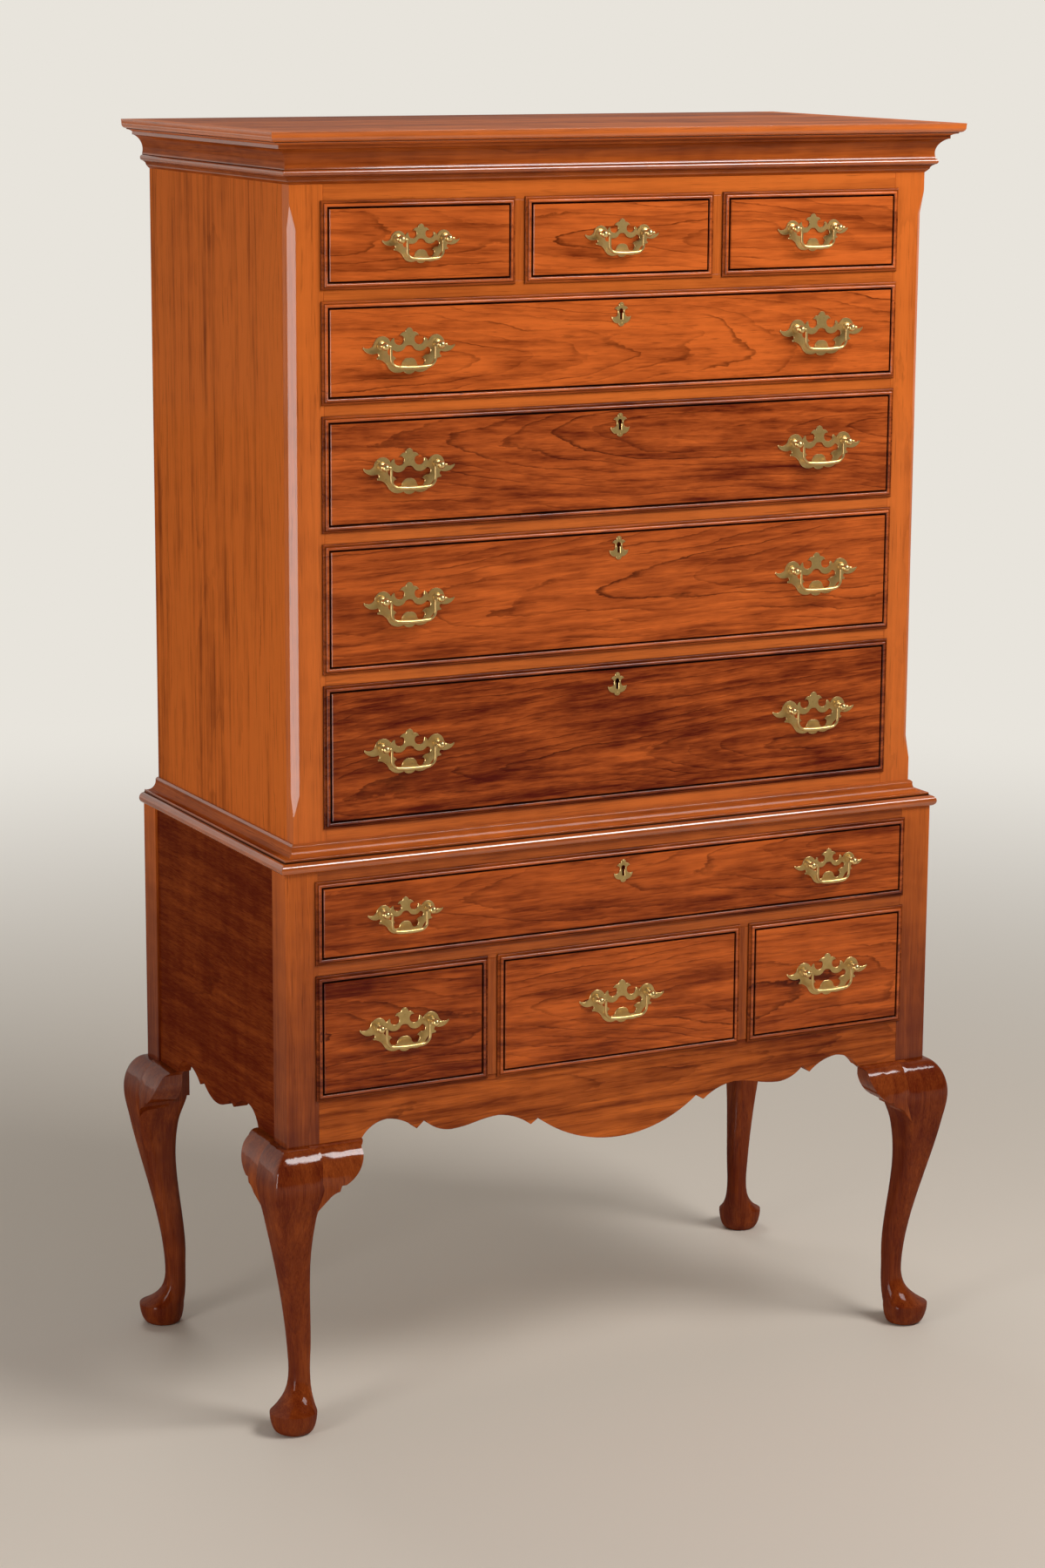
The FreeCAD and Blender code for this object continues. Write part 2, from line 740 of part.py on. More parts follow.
def knee_blocks():
    """Blocks beside every leg: along the front at the front legs, and along the sides."""
    length = value("block_length")
    half = value(LOWER_OPENING)
    front = value(LOWER_FRONT)
    side = value(LOWER_SIDE)
    post = value(CASE_BACK) - value("post_depth")
    blocks = []
    front_block = knee_block(length)
    front_block.rotate(vec(0, 0, 0), vec(0, 0, 1), 180)
    front_block.translate(vec(half, front, 0))
    blocks.append(("front_right", front_block))
    blocks.append(("front_left", front_block.mirror(vec(0, 0, 0), vec(1, 0, 0))))
    side_block = knee_block(length)
    side_block.rotate(vec(0, 0, 0), vec(0, 0, 1), -90)
    side_block.translate(vec(side, post, 0))
    blocks.append(("side_back_right", side_block))
    blocks.append(("side_back_left", side_block.mirror(vec(0, 0, 0), vec(1, 0, 0))))
    forward = side_block.mirror(vec(0, 0, 0), vec(0, 1, 0))
    blocks.append(("side_front_right", forward))
    blocks.append(("side_front_left", forward.mirror(vec(0, 0, 0), vec(1, 0, 0))))
    node("knee_blocks", [carved("knee_block_" + name, shape) for name, shape in blocks])


# ---------------------------------------------------------------- lower case

def scalloped(half, top, start, runs, place, depth):
    """A board with a shaped lower edge that is the same both ways from the middle."""
    last = runs[-1][-1]
    right = runs + [((half, last[1]),), ((half, top),)]
    whole = right + [((-half, top),), ((-half, last[1]),), ((-last[0], last[1]),)]
    whole += mirrored(runs, start)
    return slab([outline(start, whole, place)], depth)


def front_apron():
    """The shaped rail under the bottom drawers."""
    half = value(LOWER_OPENING)
    front = value(LOWER_FRONT)
    end = half - value("block_length")
    low = value("lobe_low")
    lobe = value("lobe_half")
    shoulder = value("lobe_shoulder")
    arch = value("small_arch")
    wave = value("wave")
    bend = (arch + wave) / 2
    bend_low = (value("small_arch_top") + value("wave_low")) / 2
    large = value("large_arch")
    radius = (lobe * lobe + (shoulder - low) ** 2) / (2 * (shoulder - low))
    reach = lobe / 2
    runs = [((reach, low + radius - math.sqrt(radius ** 2 - reach ** 2)), (lobe, shoulder)),
            ((value("first_cusp"), value("first_cusp_low")),),
            ((arch - 28, value("small_arch_top") - 7.2), (arch, value("small_arch_top"))),
            ((arch + 18, value("small_arch_top") - 1.7), (bend, bend_low)),
            ((wave - 16, value("wave_low") + 1.4), (wave, value("wave_low"))),
            ((wave + 23, value("wave_low") + 5.4), (value("wave_end"), value("wave_shoulder"))),
            ((value("second_cusp"), value("second_cusp_low")),),
            ((large - 18, value("large_arch_top") - 4.0), (large, value("large_arch_top"))),
            ((large + (end - large) * 0.7, value("large_arch_top") - 9.0),
             (end, value("knee_top")))]
    shape = scalloped(half, value("apron_rail"), (0, low), runs,
                      lambda p: vec(p[0], front, p[1]), vec(0, value("apron_thick"), 0))
    node("front_apron", [carved("front_apron_board", shape)])


def lower_sides():
    """Side boards between the posts, with shaped lower edges."""
    half = value(CASE_BACK) - value("post_depth")
    outer = value(LOWER_SIDE) - value("panel_recess")
    end = half - value("block_length")
    low = value("side_lobe_low")
    lobe = value("side_lobe_half")
    shoulder = value("side_shoulder")
    arch = value("side_arch")
    top = value("side_arch_top")
    cusp = value("side_cusp")
    cusp_low = value("side_cusp_low")
    radius = (lobe * lobe + (shoulder - low) ** 2) / (2 * (shoulder - low))
    reach = lobe / 2
    runs = [((reach, low + radius - math.sqrt(radius ** 2 - reach ** 2)), (lobe, shoulder)),
            ((cusp, cusp_low),),
            (((cusp + arch) / 2 - 3, top - 5.6), (arch, top)),
            ((arch + (end - arch) * 0.7, top - 7.5), (end, value("knee_top")))]
    left = scalloped(half, value(LOWER_TOP), (0, low), runs,
                     lambda p: vec(-outer, p[0], p[1]), vec(value("board_thick"), 0, 0))
    node("lower_side_left", [carved("left_side_board", left)])
    node("lower_side_right", [carved("right_side_board", left.mirror(vec(0, 0, 0), vec(1, 0, 0)))])


def lower_rails():
    """Top rail, blade and two dividers of the lower case."""
    deep = LOWER_FRONT + " + blade_depth"
    wide = ("-" + LOWER_OPENING, LOWER_OPENING)
    rails = [box("lower_top_rail_board", *wide, LOWER_FRONT, deep, LOWER_RAIL, LOWER_TOP),
             box("lower_blade", *wide, LOWER_FRONT, deep, LOWER_LONG_FLOOR + " - blade_thick",
                 LOWER_LONG_FLOOR)]
    for name, middle in (("left", "-lower_divider"), ("right", "lower_divider")):
        rails.append(box("lower_divider_" + name, middle + " - blade_thick / 2",
                         middle + " + blade_thick / 2", LOWER_FRONT, deep, "apron_rail",
                         LOWER_LONG_FLOOR + " - blade_thick"))
    node("lower_rails", rails)


def lower_back_board():
    """The back of the lower case, let in between the back posts."""
    back = CASE_BACK + " - lower_back_inset"
    node("lower_back_board", [box("lower_back", "-" + LOWER_OPENING, LOWER_OPENING,
                                  back + " - lower_back_thick", back,
                                  "apron_rail - blade_thick", LOWER_TOP)])


def lower_runners():
    """Runners and guides of the lower case."""
    post = CASE_BACK + " - post_depth"
    back = CASE_BACK + " - lower_back_inset - lower_back_thick"
    runners = []
    deep = LOWER_FRONT + " + blade_depth"
    shallow = LOWER_FRONT + " + apron_thick"
    for side, sign in (("left", -1), ("right", 1)):
        runners += side_runner("lower_long_" + side, sign, LOWER_INSIDE, LOWER_OPENING,
                               deep, post, LOWER_LONG_FLOOR)
        runners += side_runner("bottom_" + side, sign, LOWER_INSIDE, LOWER_OPENING,
                               LOWER_FRONT + " + post_depth", post, "apron_rail")
    for side, middle in (("left", "-lower_divider"), ("right", "lower_divider")):
        runner, guide = divider_runner("bottom_middle_" + side, middle, shallow, back, "apron_rail")
        guide.setExpression("Width", bound("%s - (%s)" % (back, deep)))
        guide.setExpression("Placement.Base.y", bound(deep))
        runners += [runner, guide]
    node("lower_runners", runners)


# ---------------------------------------------------------------- brasses

# Outline of the pierced plate from the top of its middle finial round the right
# half, with x from the middle and z from the line of the posts.
PLATE_START = (0.0, 21.5)
PLATE_RUNS = [
    ((3.9, 19.6), (5.2, 16.2)),
    ((10.2, 15.2), (13.4, 11.3)),
    ((9.3, 11.0), (7.4, 8.4)),
    ((12.6, 0.3), (20.4, 7.6)),
    ((21.0, 9.2),),
    ((23.6, 7.8), (25.8, 4.0)),
    ((36.3, 11.9), (48.3, 2.7)),
    ((54.5, -2.6), (62.8, -0.8)),
    ((63.2, -2.8),),
    ((54.5, -9.6), (44.2, -9.2)),
    ((42.0, -11.8), (44.5, -14.6)),
    ((44.0, -16.9),),
    ((36.0, -19.0), (29.9, -25.2)),
    ((20.0, -33.8), (7.8, -32.6)),
    ((4.4, -35.4), (0.0, -36.3)),
]
PIERCING_START = (0.0, -0.7)
PIERCING_RUNS = [
    ((4.6, -1.9), (6.6, -4.5)),
    ((15.0, -8.2), (24.0, -3.6)),
    ((29.3, -6.8), (26.5, -12.4)),
    ((22.0, -13.2), (17.8, -17.0)),
    ((21.2, -19.2), (20.3, -23.0)),
    ((15.5, -27.0), (10.2, -22.8)),
    ((7.6, -18.4), (0.0, -16.4)),
]
ESCUTCHEON_START = (0.0, 15.3)
ESCUTCHEON_RUNS = [
    ((2.9, 14.2), (3.2, 10.2)),
    ((7.2, 9.8), (9.8, 7.0)),
    ((6.0, 5.6), (5.0, 2.0)),
    ((7.6, -2.6), (13.8, -2.2)),
    ((11.6, -8.4), (4.2, -11.6)),
    ((3.0, -14.2), (0.0, -15.3)),
]


def both_halves(start, runs):
    """A closed flat outline from its right half."""
    return outline(start, runs + mirrored(runs, start), lambda p: vec(p[0], 0, p[1]))


def bored(shape, centre, radius, direction, length):
    """The shape with a round hole that starts at centre."""
    return shape.cut(Part.makeCylinder(radius, length, centre, direction))


def plate_shape(scale):
    """A pierced plate whose back lies on y = 0."""
    thick = value("plate_thick")
    wires = [both_halves(PLATE_START, PLATE_RUNS), both_halves(PIERCING_START, PIERCING_RUNS)]
    stretch = FreeCAD.Matrix()
    stretch.scale(scale, 1, scale)
    wires = [wire.transformGeometry(stretch) for wire in wires]
    plate = slab(wires, vec(0, -thick, 0))
    place = value("pull_spacing") / 2 * scale
    for x in (-place, place):
        plate = bored(plate, vec(x, -2 * thick, 0), value("shank_radius + shank_clear"),
                      vec(0, 1, 0), 4 * thick)
    return plate


def keyhole(start, depth):
    """The keyhole's form: a round with a slot below."""
    radius = value("keyhole_radius")
    rise = value("keyhole_rise")
    half = value("key_slot_half")
    drop = value("key_slot_drop")
    hole = Part.makeCylinder(radius, depth, vec(0, start, rise), vec(0, 1, 0))
    slot = Part.makeBox(2 * half, depth, rise + drop, vec(-half, start, -drop))
    return hole.fuse(slot)


def escutcheon_shape():
    """A keyhole plate whose back lies on y = 0."""
    thick = value("plate_thick")
    plate = slab([both_halves(ESCUTCHEON_START, ESCUTCHEON_RUNS)], vec(0, -thick, 0))
    return plate.cut(keyhole(-2 * thick, 4 * thick))


def post_shape():
    """A ball-headed post on a shank that passes through the drawer front."""
    ball = value("ball_radius")
    out = value("ball_standoff")
    shank = value("shank_radius")
    thick = value("plate_thick")
    through = value("front_proud + front_core + nut_thick")
    collar = Part.makeCylinder(value("collar_radius"), 1.8, vec(0, -thick, 0), vec(0, -1, 0))
    neck = Part.makeCone(value("collar_radius") * 0.8, ball * 0.62, out - thick,
                         vec(0, -thick, 0), vec(0, -1, 0))
    head = Part.makeSphere(ball, vec(0, -out, 0))
    stem = Part.makeCylinder(shank, through + thick, vec(0, -thick, 0), vec(0, 1, 0))
    post = stem.fuse([collar, neck, head])
    return bored(post, vec(-2 * ball, -out, 0), value("pin_radius + pin_clear"),
                 vec(1, 0, 0), 4 * ball)


def nut_shape():
    """The square nut on the shank, inside the drawer front."""
    half = value("nut_radius")
    start = value("front_core + front_proud")
    nut = Part.makeBox(2 * half, value("nut_thick"), 2 * half, vec(-half, start, -half))
    return bored(nut, vec(0, start - 1, 0), value("shank_radius"), vec(0, 1, 0),
                 value("nut_thick") + 2)


def bail_shape(scale):
    """A bail hanging straight down, its ends turned out through the balls."""
    pin = value("pin_radius")
    half = value("pull_spacing") / 2 * scale
    tip = half + value("ball_radius + tip_length")
    bend = value("bail_bend")
    leg = half - value("ball_radius") - bend
    drop = value("bail_drop") * (0.5 + scale / 2)
    corner = value("bail_corner") * scale
    tilt = math.radians(6.0)
    centre = (leg - corner, -drop + corner)
    turn_end = (centre[0] + corner * math.sin(tilt), centre[1] - corner * math.cos(tilt))
    sweep = turn_end[0] / math.sin(tilt)
    low = turn_end[1] - sweep * (1 - math.cos(tilt))
    diagonal = math.sqrt(0.5)
    half_turn = math.radians(45.0 - math.degrees(tilt) / 2)
    turn_mid = (centre[0] + corner * math.cos(half_turn), centre[1] - corner * math.sin(half_turn))

    def at(point, sign=1):
        return vec(sign * point[0], 0, point[1])

    elbow = (leg, -bend)
    shoulder = (leg + bend, 0.0)
    elbow_mid = (leg + bend - bend * diagonal, -bend + bend * diagonal)
    side = [Part.LineSegment(at((tip, 0)), at(shoulder)),
            Part.Arc(at(shoulder), at(elbow_mid), at(elbow)),
            Part.LineSegment(at(elbow), at((leg, centre[1]))),
            Part.Arc(at((leg, centre[1])), at(turn_mid), at(turn_end))]
    middle = Part.Arc(at(turn_end), at((0.0, low)), at(turn_end, -1))
    back = [Part.Arc(at(turn_end, -1), at(turn_mid, -1), at((leg, centre[1]), -1)),
            Part.LineSegment(at((leg, centre[1]), -1), at(elbow, -1)),
            Part.Arc(at(elbow, -1), at(elbow_mid, -1), at(shoulder, -1)),
            Part.LineSegment(at(shoulder, -1), at((tip, 0), -1))]
    path = Part.Wire([edge.toShape() for edge in side + [middle] + back])
    section = Part.Wire([Part.makeCircle(pin, at((tip, 0)), vec(1, 0, 0))])
    bail = path.makePipeShell([section], True, True)
    grip = value("grip_length") / 2 * scale
    dip = sweep * (1 - math.cos(math.asin(grip / sweep)))
    thick_path = Part.Wire([Part.Arc(vec(-grip, 0, low + dip), vec(0, 0, low),
                                     vec(grip, 0, low + dip)).toShape()])
    slope = math.asin(grip / sweep)
    ring = Part.Wire([Part.makeCircle(value("grip_radius"), vec(-grip, 0, low + dip),
                                      vec(math.cos(slope), 0, -math.sin(slope)))])
    thick_part = thick_path.makePipeShell([ring], True, True)
    return bail.fuse(thick_part)


# ---------------------------------------------------------------- drawers

def at_place(name, shape, x, y, z):
    """A copy of a small shape, placed by expressions."""
    piece = carved(name, shape)
    piece.Placement = FreeCAD.Placement()
    for axis, place in zip("xyz", (x, y, z)):
        piece.setExpression("Placement.Base." + axis, bound(place))
    return piece


def side_tails(name, x, floor, height, front, count):
    """The dovetail tails of one drawer side, as wedges that widen forwards."""
    tails = []
    for index in range(count):
        tail = doc.addObject("Part::Wedge", "%s_tail_%d" % (name, index + 1))
        sizes = {"Xmin": "0 * drawer_side", "Xmax": "drawer_side",
                 "X2min": "0 * drawer_side", "X2max": "drawer_side",
                 "Ymin": "0 * tail_length", "Ymax": "tail_length",
                 "Zmin": "-tail_tip / 2", "Zmax": "tail_tip / 2",
                 "Z2min": "-tail_root / 2", "Z2max": "tail_root / 2"}
        for prop, text in sizes.items():
            tail.setExpression(prop, bound(text))
        level = "%s + (%s) * %d / %d" % (floor, height, 2 * index + 1, 2 * count)
        for axis, place in zip("xyz", (x, front, level)):
            tail.setExpression("Placement.Base." + axis, bound(place))
        tails.append(tail)
    return tails


def drawer(name, left, right, front, floor, height, pulls, small, locked):
    """One lipped drawer with its brasses and bails.

    left, right, floor and height bound the opening, front is the case's face.
    pulls are the middles of its pulls, as (label, expression) pairs.
    """
    face = "(%s - lip_gap)" % front
    core_back = "(%s + front_core)" % face
    proud = "(%s - front_proud)" % face
    low = "(%s + lip_gap)" % floor
    tall = "(%s - lip_gap - top_clear)" % height
    inner_left = "(%s + side_clear)" % left
    inner_right = "(%s - side_clear)" % right
    lip_left = "(%s - lip_overlap)" % left
    lip_right = "(%s + lip_overlap)" % right
    lip_low = "(%s - lip_overlap)" % floor
    lip_high = "(%s + %s + lip_overlap)" % (floor, height)
    middle = "((%s + %s) / 2)" % (left, right)

    core = box(name + "_core", inner_left, inner_right, face, core_back, low, low + " + " + tall)
    lip = box(name + "_lip", lip_left, lip_right, face + " - lip_thick", face, lip_low, lip_high)
    # the raised field with its bead: a block whose edges slope in towards the front
    field = doc.addObject("Part::Wedge", name + "_field")
    wide = "(%s - %s - 2 * fillet_band)" % (lip_right, lip_left)
    high = "(%s - %s - 2 * fillet_band)" % (lip_high, lip_low)
    sizes = {"Xmin": "bead_slope", "Xmax": wide + " - bead_slope", "X2min": "0 * bead_slope",
             "X2max": wide, "Ymin": "0 * bead_slope", "Ymax": "front_proud - lip_thick",
             "Zmin": "bead_slope", "Zmax": high + " - bead_slope", "Z2min": "0 * bead_slope",
             "Z2max": high}
    for prop, text in sizes.items():
        field.setExpression(prop, bound(text))
    for axis, place in zip("xyz", (lip_left + " + fillet_band", proud, lip_low + " + fillet_band")):
        field.setExpression("Placement.Base." + axis, bound(place))
    # the quirk between bead and field
    band = "fillet_band + bead_band"
    quirk_outer = box(name + "_quirk_outer", "%s + %s" % (lip_left, band),
                      "%s - %s" % (lip_right, "(" + band + ")"), proud + " - 1",
                      face + " - quirk_floor", "%s + %s" % (lip_low, band),
                      "%s - %s" % (lip_high, "(" + band + ")"))
    band = "fillet_band + bead_band + quirk_width"
    quirk_inner = box(name + "_quirk_inner", "%s + %s" % (lip_left, band),
                      "%s - %s" % (lip_right, "(" + band + ")"), proud + " - 2",
                      face + " - quirk_floor + 1", "%s + %s" % (lip_low, band),
                      "%s - %s" % (lip_high, "(" + band + ")"))
    quirk = cut(name + "_quirk", quirk_outer, quirk_inner)

    # sides with dovetail tails, and the groove for the bottom
    end = "(%s + drawer_length)" % front
    groove_low = "(%s + bottom_rise)" % low
    groove_high = "(%s + drawer_bottom)" % groove_low
    count = max(2, int(value(tall) // value("2.2 * tail_tip")))
    tail_front = core_back + " - tail_length"
    pieces = []
    cutters = [quirk]
    for side, start in (("left", inner_left), ("right", inner_right + " - drawer_side")):
        label = "%s_%s" % (name, side)
        board = box(label + "_board", start, start + " + drawer_side", core_back, end,
                    low, low + " + " + tall)
        tails = side_tails(label, start, low, tall, tail_front, count)
        solid = joined(label + "_dovetailed", [board] + tails)
        if side == "left":
            groove_x = (start + " + drawer_side - groove_deep", start + " + 2 * drawer_side")
        else:
            groove_x = (start + " - drawer_side", start + " + groove_deep")
        groove = box(label + "_groove", *groove_x, tail_front + " - 1", end + " + 1",
                     groove_low, groove_high)
        pieces.append(cut(label + "_side", solid, groove))
        cutters += tails
    cutters.append(box(name + "_front_groove", inner_left + " + drawer_side - groove_deep",
                       inner_right + " - drawer_side + groove_deep", core_back + " - groove_deep",
                       core_back + " + 1", groove_low, groove_high))
    back = box(name + "_back", inner_left + " + drawer_side", inner_right + " - drawer_side",
               end + " - drawer_side", end, groove_high, low + " + " + tall + " - back_drop")
    bottom = box(name + "_bottom", inner_left + " + drawer_side - groove_deep",
                 inner_right + " - drawer_side + groove_deep", core_back + " - groove_deep",
                 end, groove_low, groove_high)

    # brasses, with the bores for their shanks
    scale_text = "small_scale" if small else "1"
    scale = value("small_scale") if small else 1.0
    rise = "(%s + %s / 2 + pull_rise * %s)" % (floor, height, scale_text)
    half = "(pull_spacing / 2 * %s)" % scale_text
    brasses = []
    for label, x in pulls:
        tag = "%s_%s" % (name, label) if label else name
        brasses.append(at_place(tag + "_plate", plate_shape(scale), x, proud, rise))
        for end_name, sign in (("left", "-"), ("right", "+")):
            post_x = "%s %s %s" % (x, sign, half)
            brasses.append(at_place("%s_%s_post" % (tag, end_name), post_shape(),
                                    post_x, proud, rise))
            brasses.append(at_place("%s_%s_nut" % (tag, end_name), nut_shape(),
                                    post_x, proud, rise))
            cutters.append(cylinder("%s_%s_bore" % (tag, end_name), post_x, proud + " - 1", rise,
                                    "shank_radius + shank_clear", "front_proud + front_core + 2"))
        node("bail_" + tag, [at_place(tag + "_bail", bail_shape(scale), x,
                                      proud + " - ball_standoff", rise)])
    if locked:
        level = "(%s - escutcheon_drop - lip_overlap)" % lip_high
        brasses.append(at_place(name + "_escutcheon", escutcheon_shape(), middle, proud, level))
        cutters.append(at_place(name + "_keyhole", keyhole(-1.0, value("keyhole_depth") + 1.0),
                                middle, proud, level))
    blank = joined(name + "_blank", [core, lip, field])
    face_piece = cut(name + "_front", blank, joined(name + "_cutters", cutters))
    node("drawer_" + name, [face_piece] + pieces + [back, bottom])
    node("brasses_" + name, brasses)


def drawers():
    """Eleven drawers: three small over four long, one long over three small."""
    gap = "blade_thick / 2"
    pair = [("left", "-long_pull_place"), ("right", "long_pull_place")]
    lower_pair = [("left", "-lower_pull_place"), ("right", "lower_pull_place")]
    top = (("top_left", "-" + UPPER_OPENING, "(-upper_divider - %s)" % gap),
           ("top_centre", "(-upper_divider + %s)" % gap, "(upper_divider - %s)" % gap),
           ("top_right", "(upper_divider + %s)" % gap, UPPER_OPENING))
    for name, left, right in top:
        middle = "((%s + %s) / 2)" % (left, right)
        drawer(name, left, right, UPPER_FRONT, TOP_FLOOR, "top_row", [("", middle)], True, False)
    for name, floor, height in (("second", SECOND_FLOOR, "second_row"),
                                ("third", THIRD_FLOOR, "third_row"),
                                ("fourth", FOURTH_FLOOR, "fourth_row"),
                                ("fifth", FIFTH_FLOOR, "fifth_row")):
        drawer(name, "(-%s)" % UPPER_OPENING, UPPER_OPENING, UPPER_FRONT, floor, height,
               pair, False, True)
    drawer("lower_long", "(-%s)" % LOWER_OPENING, LOWER_OPENING, LOWER_FRONT, LOWER_LONG_FLOOR,
           "lower_long_row", lower_pair, True, True)
    bottom = (("bottom_left", "-" + LOWER_OPENING, "(-lower_divider - %s)" % gap),
              ("bottom_centre", "(-lower_divider + %s)" % gap, "(lower_divider - %s)" % gap),
              ("bottom_right", "(lower_divider + %s)" % gap, LOWER_OPENING))
    for name, left, right in bottom:
        middle = "((%s + %s) / 2)" % (left, right)
        drawer(name, left, right, LOWER_FRONT, "apron_rail", "bottom_row", [("", middle)],
               False, False)


# ---------------------------------------------------------------- build, check, write

top_board()
cornice_cap()
cornice_moulding()
upper_sides()
upper_stiles()
upper_rails()
upper_runners()
upper_bottom_board()
upper_back_boards()
waist_moulding()
legs()
knee_blocks()
lower_sides()
front_apron()
lower_rails()
lower_runners()
lower_back_board()
drawers()

doc.recompute()

for item in doc.Objects:
    if "Invalid" in item.State or "Error" in item.State:
        raise RuntimeError("%s failed: %s" % (item.Label, item.State))
for part in nodes:
    if part.Shape.isNull() or not part.Shape.isValid():
        raise RuntimeError("%s has no valid shape" % part.Label)

os.makedirs("parts", exist_ok=True)
for part in nodes:
    part.Shape.exportStep(os.path.join("parts", part.Label + ".step"))
print("%d nodes, %d solids" % (len(nodes), sum(len(part.Shape.Solids) for part in nodes)))
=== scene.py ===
import contextlib
import math
import random

import bpy
from mathutils import Matrix, Vector


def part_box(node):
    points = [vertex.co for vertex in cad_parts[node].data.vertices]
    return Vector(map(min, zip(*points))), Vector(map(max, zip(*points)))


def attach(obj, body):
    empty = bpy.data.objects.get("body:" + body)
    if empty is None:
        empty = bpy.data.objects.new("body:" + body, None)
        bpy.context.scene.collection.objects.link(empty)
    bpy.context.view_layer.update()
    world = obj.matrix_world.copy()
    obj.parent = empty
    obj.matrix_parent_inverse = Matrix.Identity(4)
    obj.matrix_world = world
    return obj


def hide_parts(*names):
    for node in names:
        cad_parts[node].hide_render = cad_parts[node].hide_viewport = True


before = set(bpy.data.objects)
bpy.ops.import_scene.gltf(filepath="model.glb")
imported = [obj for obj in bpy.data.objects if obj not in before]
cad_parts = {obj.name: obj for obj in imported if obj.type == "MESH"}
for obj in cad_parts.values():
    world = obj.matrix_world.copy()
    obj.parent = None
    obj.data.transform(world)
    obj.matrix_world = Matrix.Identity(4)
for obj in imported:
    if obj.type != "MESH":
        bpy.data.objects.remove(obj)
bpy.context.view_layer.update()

bl_info = {
    "name": "Highboy",
    "version": (1, 0, 0),
    "blender": (4, 5, 0),
    "location": "3D View > Sidebar > Highboy",
    "description": "Dresses the flat-top highboy in cherry and aged brass and sets its studio",
    "category": "Object",
}

MM = 0.001
FLAT = math.radians(0.3)  # faces that meet at less than this are one flat face
TOUCHING = 0.01 * MM  # places closer than this are one place


# ---------------------------------------------------------------- sizes and colours

def shown(red, green, blue):
    """A colour as it looks on screen, 0 to 255, as the linear colour that Blender keeps."""
    parts = []
    for part in (red, green, blue):
        level = part / 255
        parts.append(level / 12.92 if level <= 0.04045 else ((level + 0.055) / 1.055) ** 2.4)
    return tuple(parts)


def length(name, text, default):
    """A length property, given in millimetres."""
    return bpy.props.FloatProperty(name=name, description=text, default=default * MM,
                                   min=0.0, unit="LENGTH", precision=5)


def share(name, text, default):
    """A number from nothing to all."""
    return bpy.props.FloatProperty(name=name, description=text, default=default,
                                   min=0.0, max=1.0, subtype="FACTOR")


def colour(name, text, default):
    """A colour property, given as it looks on screen."""
    return bpy.props.FloatVectorProperty(name=name, description=text, default=shown(*default),
                                         min=0.0, max=1.0, size=3, subtype="COLOR")


class HighboyWood(bpy.types.PropertyGroup):
    """Colours and grain of the woods"""
    case_pale: colour("Case, pale", "Cherry of the case between its dark rings", (211, 108, 42))
    case_deep: colour("Case, deep", "Cherry of the case where it is darkest", (88, 24, 6))
    front_pale: colour("Fronts, pale", "Cherry of the drawer fronts, pale", (212, 103, 41))
    front_deep: colour("Fronts, deep", "Cherry of the drawer fronts, deep", (82, 18, 7))
    ring_colour: colour("Ring lines", "Late wood of the growth rings", (58, 14, 5))
    pine_pale: colour("Inside wood, pale", "Unfinished wood inside the case", (206, 172, 120))
    pine_deep: colour("Inside wood, deep", "Its darker streaks", (158, 116, 68))
    # The glaze colour stands for dark old glaze together with painted shade in quirks, creases and
    # corners.
    glaze_and_shade_colour: colour("Glaze", "Old finish gathered in quirks and corners", (22, 7, 4))
    ring_spacing: length("Ring spacing", "Mean distance between growth rings", 7.5)
    polish: share("Polish", "Weight of the clear coat over the stain", 0.12)
    side_polish: share("Side polish", "The same on the sides of the cases", 0.04)
    frame_polish: share("Frame polish", "The same on stiles and rails", 0.24)
    leg_polish: share("Leg polish", "The same on the legs", 0.16)
    moulding_polish: share("Moulding polish", "The same on mouldings", 0.14)


class HighboyShapes(bpy.types.PropertyGroup):
    """Edges, lips and brasses"""
    arris: length("Arris", "How far the edges of the boards are eased", 0.7)
    moulding_arris: length("Moulding arris", "How far the edges of the mouldings are eased", 0.25)
    lip_proud: length("Lip, proud", "Height of the drawer's field over the back of its lip", 5.4)
    lip_edge: length("Lip, edge", "Thickness of the lip at its outer edge", 1.0)
    lip_fillet: length("Lip, fillet", "Height of the rounded band outside the bead", 2.9)
    bead_start: length("Bead, start", "Distance of the bead from the lip's edge", 3.6)
    bead_radius: length("Bead, radius", "Radius of the bead round the front", 2.3)
    quirk_floor: length("Quirk, floor", "Height of the quirk over the back of the lip", 2.2)
    quirk_width: length("Quirk, width", "Width of the quirk's floor", 1.7)
    keyhole_radius: length("Keyhole, radius", "Radius of the keyhole's round", 3.2)
    keyhole_rise: length("Keyhole, rise", "Its round's middle over the escutcheon's middle", 4.2)
    keyhole_drop: length("Keyhole, drop", "Its slot's end under the escutcheon's middle", 6.5)
    plate_bevel: length("Plate, bevel", "Width of the bevel round the brass plates", 0.55)
    ball_radius: length("Ball, radius", "Radius of the posts' balls", 5.2)
    ball_reach: length("Ball, reach", "From the front's face to the middle of a ball", 13.5)
    plate_thick: length("Plate, thickness", "Thickness of the brass plates", 1.6)
    post_spacing: length("Posts, spacing", "Between the two posts of a large pull", 76.8)
    small_scale: bpy.props.FloatProperty(
        name="Small pulls", description="Size of the small pulls, in large ones", default=0.84,
        subtype="FACTOR")
    collar_radius: length("Collar, radius", "Radius of the collar at a post's foot", 6.1)
    wire_radius: length("Wire, radius", "Radius of a bail where it leaves the ball", 1.9)
    grip_radius: length("Grip, radius", "Radius of a bail in its middle", 2.65)
    block_reach: length("Knee block, reach", "How far a knee block runs on into its leg", 15.0)
    block_fall: length("Knee block, fall", "How far the lower edge of that end falls", 18.0)


